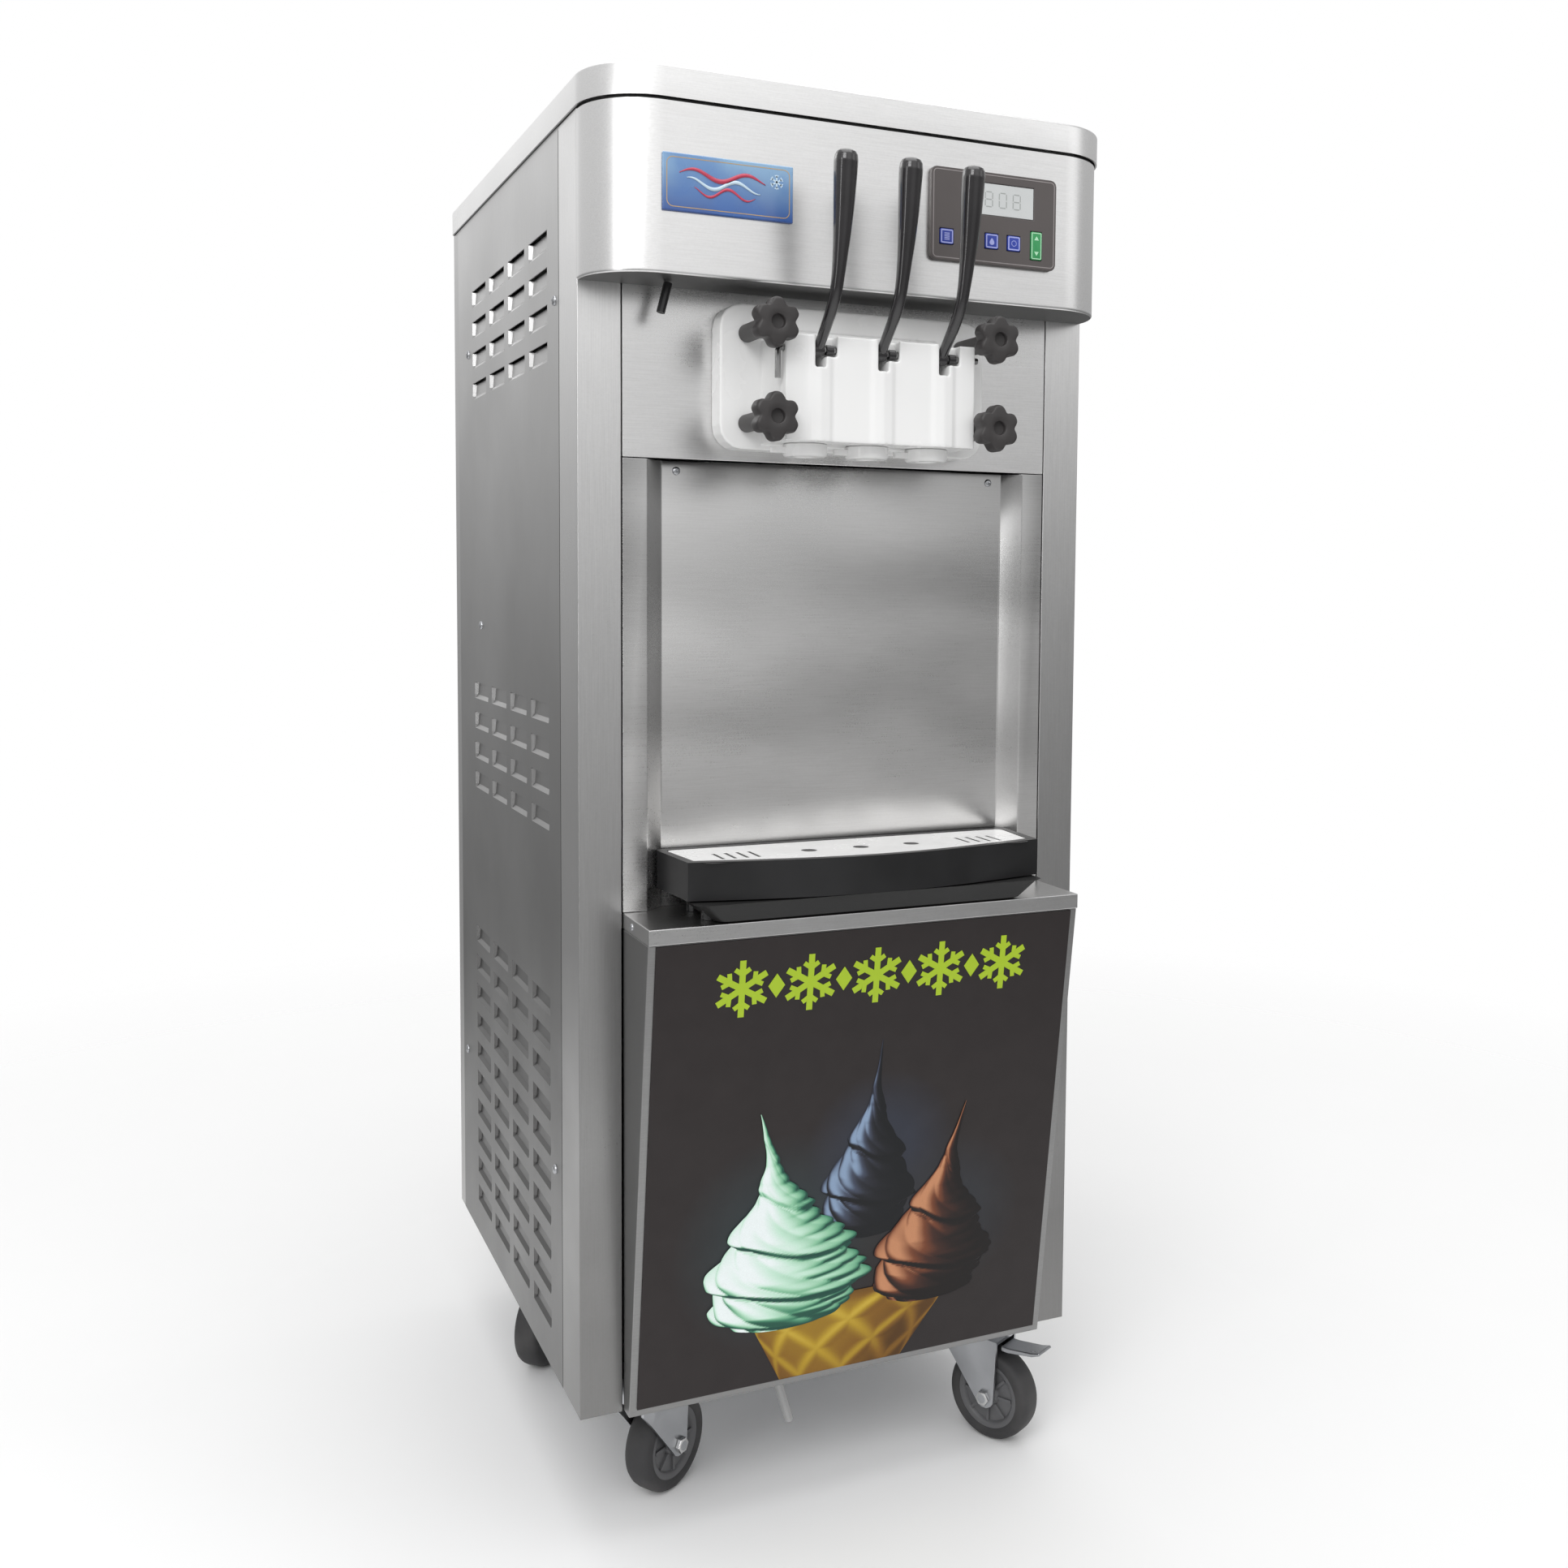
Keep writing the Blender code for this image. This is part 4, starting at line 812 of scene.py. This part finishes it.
def door_picture():
    refined("graphic_panel", graphic_material(), 0.0004)
    mint = ((0.01, 0.07, 0.05), (0.07, 0.28, 0.16), (0.28, 0.60, 0.38), (0.60, 0.86, 0.70),
            (0.90, 0.97, 0.97))
    slate = ((0.003, 0.004, 0.006), (0.008, 0.009, 0.013), (0.022, 0.024, 0.036), (0.060, 0.075, 0.12),
             (0.26, 0.36, 0.52))
    cocoa = ((0.004, 0.002, 0.002), (0.014, 0.006, 0.005), (0.050, 0.016, 0.010), (0.19, 0.055, 0.022),
             (0.58, 0.26, 0.13))
    swirl("graphic_swirl_slate", (0.010, 0.150), (0.016, 0.352), 0.106, 4.2, slate, 0.0003, 9, 0.0, 3.4)
    wafer_cone("graphic_cone", 0.0006)
    swirl("graphic_swirl_cocoa", (0.086, 0.070), (0.115, 0.274), 0.136, 4.2, cocoa, 0.0009, 7, 0.05, 2.8)
    swirl("graphic_swirl_mint", (-0.074, 0.072), (-0.109, 0.290), 0.170, 4.8, mint, 0.0012, 9, 0.12)
    lime_border()


# Dispensing head

def dispensing_head():
    """The white head: the CAD block with moulded ledges added, its edges rounded by remeshing."""
    bm = cad_copy("dispensing_head", 0)
    top = 1.166
    for low, high in (((-0.086, depth(-0.0350), top - 0.004), (0.086, depth(-0.024), top + 0.0050)),
                      ((-0.086, depth(-0.0300), top + 0.002), (0.086, depth(-0.024), top + 0.0115)),
                      ((-0.072, depth(-0.0335), top + 0.004), (-0.046, depth(-0.026), top + 0.0085)),
                      ((0.046, depth(-0.0335), top + 0.004), (0.072, depth(-0.026), top + 0.0085))):
        add_box(bm, low, high)
    item = finished("dispensing_head", bm, WHITE)
    voxel = item.modifiers.new("even", "REMESH")
    voxel.mode, voxel.voxel_size = "VOXEL", 0.0010
    smooth = item.modifiers.new("smooth", "SMOOTH")
    smooth.factor, smooth.iterations = 0.5, 5
    fewer = item.modifiers.new("fewer", "DECIMATE")
    fewer.ratio = 0.22
    evaluated_mesh(item)
    item.data.shade_smooth()


def lever(side):
    """A draw lever: a slim shank that swells into a long round-ended grip, over its pivot boss."""
    low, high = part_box(f"lever_{side}")
    x = (low.x + high.x) / 2
    rise = ((0.0800, 1.1545, 0.0050), (0.0870, 1.1610, 0.0050), (0.0990, 1.1730, 0.0053),
            (0.1110, 1.1860, 0.0055), (0.1195, 1.1990, 0.0057), (0.1250, 1.2140, 0.0061),
            (0.1300, 1.2350, 0.0072), (0.1340, 1.2570, 0.0086), (0.1370, 1.2800, 0.0099),
            (0.1390, 1.3000, 0.0107), (0.1403, 1.3110, 0.0109), (0.1409, 1.3155, 0.0103),
            (0.1412, 1.3184, 0.0086), (0.1414, 1.3200, 0.0058), (0.1415, 1.3206, 0.0022))
    mesh = tube_mesh("grip", [(x, depth(-out), z) for out, z, _ in rise], [r for _, _, r in rise], 7)
    bm = bmesh.new()
    bm.from_mesh(mesh)
    half = 0.0050
    turned([(0, -half), (0.0060, -half), (0.0068, -half + 0.0008), (0.0068, half - 0.0008), (0.0060, half),
            (0, half)], (x, PIVOT_Y, PIVOT_Z), "X", 28, bm)
    add_box(bm, (x - half + 0.0003, PIVOT_Y, PIVOT_Z - 0.003),
            (x + half - 0.0003, depth(-0.052), PIVOT_Z + 0.003))
    finished(f"lever_{side}", outward(bm), LEVER_BLACK, 40)


def pivot_sleeves():
    """Dark washers on the pivot rod, one to the right of every lever."""
    bm = bmesh.new()
    for side in SPOUTS:
        x = middle(f"lever_{side}").x
        turned([(0.0032, -0.0035), (0.0048, -0.0035), (0.0048, 0.0035), (0.0032, 0.0035)],
               (x + 0.0115, PIVOT_Y, PIVOT_Z), "X", 24, bm)
    piece("pivot_sleeves", outward(bm), LEVER_BLACK)


def nozzle(side):
    low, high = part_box(f"nozzle_{side}")
    x, y = high.x - 0.021, (low.y + high.y) / 2
    half = (high.z - low.z) / 2
    profile = [(0.0090, half), (0.0202, half), (0.0210, half - 0.0008), (0.0210, -half + 0.0030),
               (0.0205, -half + 0.0012), (0.0188, -half), (0.0110, -half), (0.0100, -half + 0.001),
               (0.0090, -half + 0.003)]
    bm = turned(profile, (x, y, low.z + half), steps=56)
    tab = rounded_outline((low.x, y - 0.003), (x - 0.0180, y + 0.003), 0.0022, 4)
    slab(tab, 1.0598, 1.0658, 0.001, 3, bm)
    finished(f"nozzle_{side}", outward(bm), WHITE)


def star_knob(row, side):
    """A six-lobed knob with a rounded rim, a dished face and a round stem."""
    node = f"star_knob_{row}_{side}"
    low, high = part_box(node)
    x, z = (low.x + high.x) / 2, (low.z + high.z) / 2
    face, back, stem = low.y, low.y + 0.019, high.y
    steps = 96

    def star(scale, y, lobe=1.0):
        rim = []
        for turn in around(steps):
            notch = (0.5 - 0.5 * math.cos(6 * (turn - math.pi / 2))) ** 1.7
            radius = scale * (0.0223 - lobe * 0.0050 * notch)
            rim.append((x + radius * math.cos(turn), y, z + radius * math.sin(turn)))
        return rim

    def disc(radius, y):
        return [(x + radius * math.cos(t), y, z + radius * math.sin(t)) for t in around(steps)]

    rings = [disc(0.0055, face + 0.0055), disc(0.0062, face + 0.0052), disc(0.0066, face + 0.0008),
             disc(0.0074, face + 0.0001), disc(0.0120, face + 0.0006), star(0.84, face + 0.0005, 0.8),
             star(0.92, face + 0.0010, 0.9), star(0.97, face + 0.0024), star(1.0, face + 0.0048),
             star(1.0, back - 0.0040), star(0.97, back - 0.0016), star(0.90, back - 0.0003, 0.8),
             disc(0.0120, back), disc(0.0098, back + 0.0008), disc(0.0085, back + 0.0030),
             disc(0.0085, stem - 0.001), disc(0.0078, stem)]
    finished(node, outward(skin(rings)), KNOB_GREY, 50)


def tray_details():
    """A black sheet of painted shade just below the grid's top, so its slots look deep, and the tray's deeper
    middle below its rim, whose black also paints the shade under the tray.
    """
    low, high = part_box("drip_grid")
    inset = 0.009
    well = rounded_outline((low.x + inset, low.y + inset), (high.x - inset, high.y - inset), 0.012)
    # Painted shade: a black sheet just under the grid's top darkens its slots.
    piece("grid_shadow", outward(slab(well, high.z - 0.0006, high.z - 0.0002)), TRAY_BLACK, "drip_grid")
    low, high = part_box("drip_tray")
    cx, cy = (low.x + high.x) / 2, (low.y + high.y) / 2
    rings = []
    for share, rise in ((0.80, 0.0006), (0.84, 0.0018), (0.93, 0.0175), (0.955, 0.019)):
        wide, long = (high.x - low.x) / 2 * share, (high.y - low.y) / 2 * (share - 0.10)
        plan = rounded_outline((cx - wide, cy - long), (cx + wide, cy + long), 0.010)
        rings.append([(x, y, low.z + rise) for x, y in plan])
    # The sump is the tray's deeper middle; its black also paints the shade under the tray.
    piece("drip_tray_sump_and_shade", outward(skin(rings)), GASKET, "drip_tray")


def dispensing():
    dispensing_head()
    for side in SPOUTS:
        lever(side)
        nozzle(side)
        refined(f"plunger_{side}", WHITE, 0.0005)
    for row in ("lower", "upper"):
        for side, _ in SIDES:
            star_knob(row, side)
    pivot_sleeves()
    paint("pivot_rod", CHROME)
    paint("breather_peg", TRAY_BLACK)
    refined("drip_tray", TRAY_BLACK, 0.0012, 3)
    refined("drip_grid", WHITE, 0.0004)
    tray_details()


# Controls

def key_cap(node, radius, finish):
    """A key with a rounded face."""
    low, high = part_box(node)
    place = Matrix.Translation((0, high.y, 0)) @ Matrix.Rotation(math.radians(90), 4, "X")
    outline = rounded_outline((low.x, low.z), (high.x, high.z), radius, 4)
    bm = slab(outline, 0, high.y - low.y, 0.0006, place=place)
    finished(node, outward(bm), finish)


def edge_line(node, inset, radius, width, thick, finish, body="root"):
    """A narrow raised line round the face of a node, a little inside its edge."""
    low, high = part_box(node)
    front = low.y - 0.0001

    def plan(inset, radius):
        return rounded_outline((low.x + inset, low.z + inset), (high.x - inset, high.z - inset), radius, 5)

    outer, inner = plan(inset, radius), plan(inset + width, max(radius - width, 0.0003))
    rings = [[(x, y, z) for x, z in line] for line, y in ((outer, front + thick), (outer, front),
                                                          (inner, front), (inner, front + thick),
                                                          (outer, front + thick))]
    piece(f"{node}_line", outward(skin(rings, caps=(False, False))), finish, body)


def strokes(shapes, front, finish, name, body):
    """A small printed sign made of closed outlines in X and Z."""
    bm = bmesh.new()
    place = Matrix.Translation((0, front + 0.00015, 0)) @ Matrix.Rotation(math.radians(90), 4, "X")
    for outline in shapes:
        slab(outline, 0, 0.00015, bm=bm, place=place)
    piece(name, outward(bm), finish, body)


def key_signs(name, cx, cz):
    """Generic signs: a list, a snow crystal, a drop and a ring of dots."""
    if name == "mix":
        return [bar(cx, cz + 0.0030 - 0.0015 * i, 0.0056, 0.0008, 0) for i in range(5)]
    if name == "chill":
        return star_bars(cx, cz, 0.0070, 0.0009)
    if name == "wash":
        return [[(cx + 0.0024 * math.sin(t) * (1 - 0.45 * math.cos(t)), cz - 0.0004 + 0.0032 * math.cos(t))
                 for t in around(20)]]
    return [bar(cx + 0.0026 * math.cos(t), cz + 0.0026 * math.sin(t), 0.0012, 0.0007, t + math.pi / 2)
            for t in around(10)]


def display():
    """The display's pane and three plain digits; the middle digit has no middle segment."""
    pane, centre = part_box("display_window"), middle("display_window")
    refined("display_window", LCD, 0.0004)
    wide, tall = 0.0080, 0.0070
    segments = ((0, tall, 0), (wide / 2, tall / 2, 90), (wide / 2, -tall / 2, 90), (0, -tall, 0),
                (-wide / 2, -tall / 2, 90), (-wide / 2, tall / 2, 90), (0, 0, 0))
    digits = []
    for k in range(3):
        cx = pane[0].x + 0.019 + 0.0155 * k
        for dx, dz, turn in segments[:-1] if k == 1 else segments:
            digits.append(bar(cx + dx, centre.z + dz, 0.0058, 0.0010, math.radians(turn)))
    strokes(digits, pane[0].y - 0.0001, LCD_INK, "display_digits", "root")


def controls():
    refined("control_bezel", BEZEL, 0.0008, 3)
    edge_line("control_bezel", 0.0022, 0.0042, 0.0008, 0.0002, BEZEL_LINE)
    display()
    for name in KEYS:
        node = f"button_{name}"
        centre = middle(node)
        key_cap(node, 0.0016, KEY_BLUE)
        edge_line(node, 0.0007, 0.0014, 0.0012, 0.0003, KEY_PALE, node)
        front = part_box(node)[0].y - 0.0001
        strokes(key_signs(name, centre.x, centre.z), front, KEY_PALE, f"{node}_sign", node)
    key_cap("rocker_key", 0.0014, KEY_GREEN)
    edge_line("rocker_key", 0.0007, 0.0012, 0.0009, 0.0003, KEY_MINT, "rocker_key")
    cx, cz = middle("rocker_key").x, middle("rocker_key").z
    arrows = [[(cx - 0.0026, cz + s * 0.0055), (cx + 0.0026, cz + s * 0.0055), (cx, cz + s * 0.0095)]
              for s in (1, -1)]
    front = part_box("rocker_key")[0].y - 0.0001
    strokes(arrows, front, KEY_MINT, "rocker_key_sign", "rocker_key")


def badge():
    """A blue badge with a gold line, three waves in two colours and a crystal; it says nothing."""
    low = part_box("nameplate")[0]
    refined("nameplate", BADGE, 0.0005, 2)
    edge_line("nameplate", 0.0035, 0.006, 0.0007, 0.0002, GOLD)
    cx, cz = middle("nameplate").x, middle("nameplate").z
    red = moulded("print_red", (0.62, 0.06, 0.12, 1), 0.3, 0.1, 900, 0.02, coat=0.2)
    pale = moulded("print_pale", (0.62, 0.78, 0.90, 1), 0.3, 0.05, 900, 0.02, coat=0.2)
    for k, (rise, width, ink) in enumerate(((0.0085, 0.0042, red), (0.0010, 0.0036, pale),
                                            (-0.0062, 0.0028, red))):
        bm, upper, lower = bmesh.new(), [], []
        for i in range(33):
            s = i / 32
            x = cx - 0.047 + 0.007 * k + (0.082 - 0.012 * k) * s
            z = cz + rise + 0.0042 * math.sin(2 * math.pi * (1.6 * s + 0.18 * k))
            w = width * math.sin(math.pi * min(max(s, 0.02), 0.98)) ** 0.6
            upper.append(bm.verts.new((x, low.y - 0.00025, z + w / 2)))
            lower.append(bm.verts.new((x, low.y - 0.00025, z - w / 2)))
        for i in range(32):
            bm.faces.new((upper[i], lower[i], lower[i + 1], upper[i + 1]))
        film = piece(f"nameplate_wave_{k}", bm, ink)
        solid = film.modifiers.new("film", "SOLIDIFY")
        solid.thickness, solid.offset = 0.0002, 1
    arms = crystal(cx + 0.046, cz + 0.010, 0.013, 0.0014, 0.0045, 0.001, 0.0030, 0.0008, 50)
    strokes(arms, low.y - 0.0001, pale, "nameplate_crystal", "root")


# Casters

def joint_of(name):
    return next(j for j in frame["joints"] if j["name"] == name)


def wheel(name):
    """A rubber tyre with a rounded tread on a ribbed hub."""
    joint = joint_of(f"roll_{name}")
    centre, axle = Vector(joint["pos_m"]), Vector(joint["axis"])
    place = Matrix.Translation(centre) @ axle.to_track_quat("Z", "Y").to_matrix().to_4x4()
    steps = 72
    # The axle stands one tyre radius above the floor.
    rim = centre.z

    def rings_of(profile):
        return [ring(r, h, steps) for r, h in profile]

    half = [(0.0365, 0.0140), (0.0400, 0.0150), (0.0440, 0.0150), (0.0470, 0.0136), (rim - 0.0008, 0.0104),
            (rim, 0.0060), (rim, 0.0)]
    tyre = half + [(r, -h) for r, h in reversed(half[:-1])]
    bm = skin(rings_of(tyre + tyre[:1]), caps=(False, False), place=place)
    piece(f"tyre_{name}", outward(bm), RUBBER, f"wheel_{name}", (f"caster_wheel_{name}",), 40)
    half = [(0.0062, 0.0150), (0.0100, 0.0150), (0.0115, 0.0136), (0.0130, 0.0100), (0.0290, 0.0100),
            (0.0305, 0.0124), (0.0320, 0.0136), (0.0364, 0.0138)]
    hub = half + [(r, -h) for r, h in reversed(half)]
    bm = skin(rings_of(hub + hub[:1]), caps=(False, False), place=place)
    for k in range(8):
        for face in (1, -1):
            spoke = place @ Matrix.Rotation(math.radians(45 * k), 4, "Z")
            size = Matrix.Diagonal((0.017, 0.0030, 0.0030, 1))
            at = spoke @ Matrix.Translation((0.0210, 0, face * 0.0110)) @ size
            bmesh.ops.create_cube(bm, size=1, matrix=at)
    piece(f"hub_{name}", outward(bm), HUB_GREY, f"wheel_{name}", (), 40)


def caster(name):
    refined(f"caster_fork_{name}", ZINC, 0.0010, 2)
    wheel(name)
    joint = joint_of(f"roll_{name}")
    centre, axle = Vector(joint["pos_m"]), Vector(joint["axis"])
    bm = bmesh.new()
    for sign in (1, -1):
        aim = (axle * sign).to_track_quat("Z", "Y").to_matrix().to_4x4()
        place = Matrix.Translation(centre + axle * (sign * 0.0208)) @ aim
        nut = [(x, y) for x, y, _ in ring(0.0082, 0, 6)]
        slab(nut, 0, 0.0046, 0.0008, 2, bm, place)
    piece(f"axle_nuts_{name}", outward(bm), STEEL_PART, f"fork_{name}")


def casters():
    for name in CASTERS:
        caster(name)
    for name in ("front_left", "front_right"):
        refined(f"brake_pedal_{name}", ZINC, 0.0012, 3)
    refined("base_pan", ZINC, 0.0006)
    paint("drain_spout", HOSE)


def inside():
    """What the casing hides, and the hopper's lids on top."""
    refined("hopper_pan", STEEL_PART, 0.0010, 2)
    for side, _ in SIDES:
        refined(f"hopper_lid_{side}", STEEL_HEADER, 0.0014, 3)
        paint(f"beater_{side}", WHITE)
    paint("freezer_block", STEEL_PART)
    paint("gear_motor", CAST)
    paint("condenser", CAST)
    paint("compressor", PAINT)
    paint("fan_rotor", TRAY_BLACK)


# Studio

def camera():
    data = bpy.data.cameras.new("camera")
    item = bpy.data.objects.new("camera", data)
    SCENE.collection.objects.link(item)
    yaw, pitch, roll = 0.4308, 0.0669, 0.0087
    ahead = Vector((math.sin(yaw) * math.cos(pitch), math.cos(yaw) * math.cos(pitch), -math.sin(pitch)))
    right = ahead.cross(Vector((0, 0, 1))).normalized()
    up = right.cross(ahead)
    across = math.cos(roll) * right + math.sin(roll) * up
    above = -math.sin(roll) * right + math.cos(roll) * up
    item.matrix_world = (Matrix.Translation((-0.6452, depth(-1.4447), 0.938))
                         @ Matrix((across, above, -ahead)).transposed().to_4x4())
    data.sensor_width = 36
    data.lens = 36.40
    data.shift_x, data.shift_y = -0.0487, -0.0600
    data.clip_start = 0.05
    SCENE.camera = item


def softbox(name, place, aim, size, power):
    data = bpy.data.lights.new(name, "AREA")
    data.shape, data.size, data.size_y, data.energy = "RECTANGLE", *size, power
    item = bpy.data.objects.new(name, data)
    SCENE.collection.objects.link(item)
    item.location = place
    item.rotation_mode = "QUATERNION"
    item.rotation_quaternion = (Vector(aim) - Vector(place)).to_track_quat("-Z", "Y")


def studio():
    """A pale floor that fades into a surround: white to the camera, uneven grey in reflections."""
    bm = bmesh.new()
    bmesh.ops.create_circle(bm, cap_ends=True, radius=2.6, segments=96)
    floor = linked("floor", bm)
    made, tree, shader, coords = start_material("pale_floor", Roughness=0.7)
    shade = noise(tree, coords, 3, detail=3)
    tree.links.new(mix(tree, shade, grey(0.91), grey(0.94)), shader.inputs["Base Color"])
    reach = add(tree, "ShaderNodeVectorMath", {0: coords}, operation="LENGTH").outputs["Value"]
    tree.links.new(spread(tree, reach, 1, 0, 0.7, 2.4), shader.inputs["Alpha"])
    floor.data.materials.append(made)

    world = bpy.data.worlds.new("studio")
    SCENE.world = world
    world.use_nodes = True
    tree = world.node_tree
    direction = add(tree, "ShaderNodeTexCoord").outputs["Generated"]
    split = add(tree, "ShaderNodeSeparateXYZ", {"Vector": direction})
    ramp = add(tree, "ShaderNodeValToRGB", {"Fac": spread(tree, split.outputs[2], 0, 1, -0.5, 0.7)})
    stops = ramp.color_ramp.elements
    stops[0].position, stops[0].color = 0.0, grey(0.36)
    stops[1].position, stops[1].color = 1.0, grey(1.00)
    for place, level in ((0.34, 0.40), (0.44, 0.52), (0.54, 0.86), (0.62, 1.10)):
        stops.new(place).color = grey(level)
    sides = add(tree, "ShaderNodeMath", {0: spread(tree, split.outputs[0], 1.06, 0.48, 0.26, 0.62),
                                         1: spread(tree, split.outputs[0], 0.60, 1.0, -0.42, -0.10)},
                operation="MULTIPLY").outputs[0]
    tone = mix(tree, 1.0, ramp.outputs[0], add(tree, "ShaderNodeCombineXYZ",
                                               {0: sides, 1: sides, 2: sides}).outputs[0], "MULTIPLY")
    seen = add(tree, "ShaderNodeLightPath").outputs["Is Camera Ray"]
    surround = mix(tree, seen, tone, (1, 1, 1, 1))
    tree.links.new(surround, tree.nodes["Background"].inputs["Color"])
    softbox("key_softbox", (-1.9, -2.6, 2.9), (0, -0.1, 0.9), (1.6, 1.6), 44)
    softbox("fill_softbox", (2.4, -2.2, 2.4), (0, -0.1, 0.8), (1.4, 1.6), 5)
    softbox("top_softbox", (0.0, -0.4, 3.4), (0, 0, 1.0), (2.4, 2.0), 26)
    softbox("edge_softbox", (-2.0, -1.3, 1.1), (-0.2, -0.25, 1.0), (0.16, 1.8), 5)
    SCENE.view_settings.view_transform = "Standard"


camera()
studio()
cabinet()
door_picture()
dispensing()
controls()
badge()
casters()
inside()
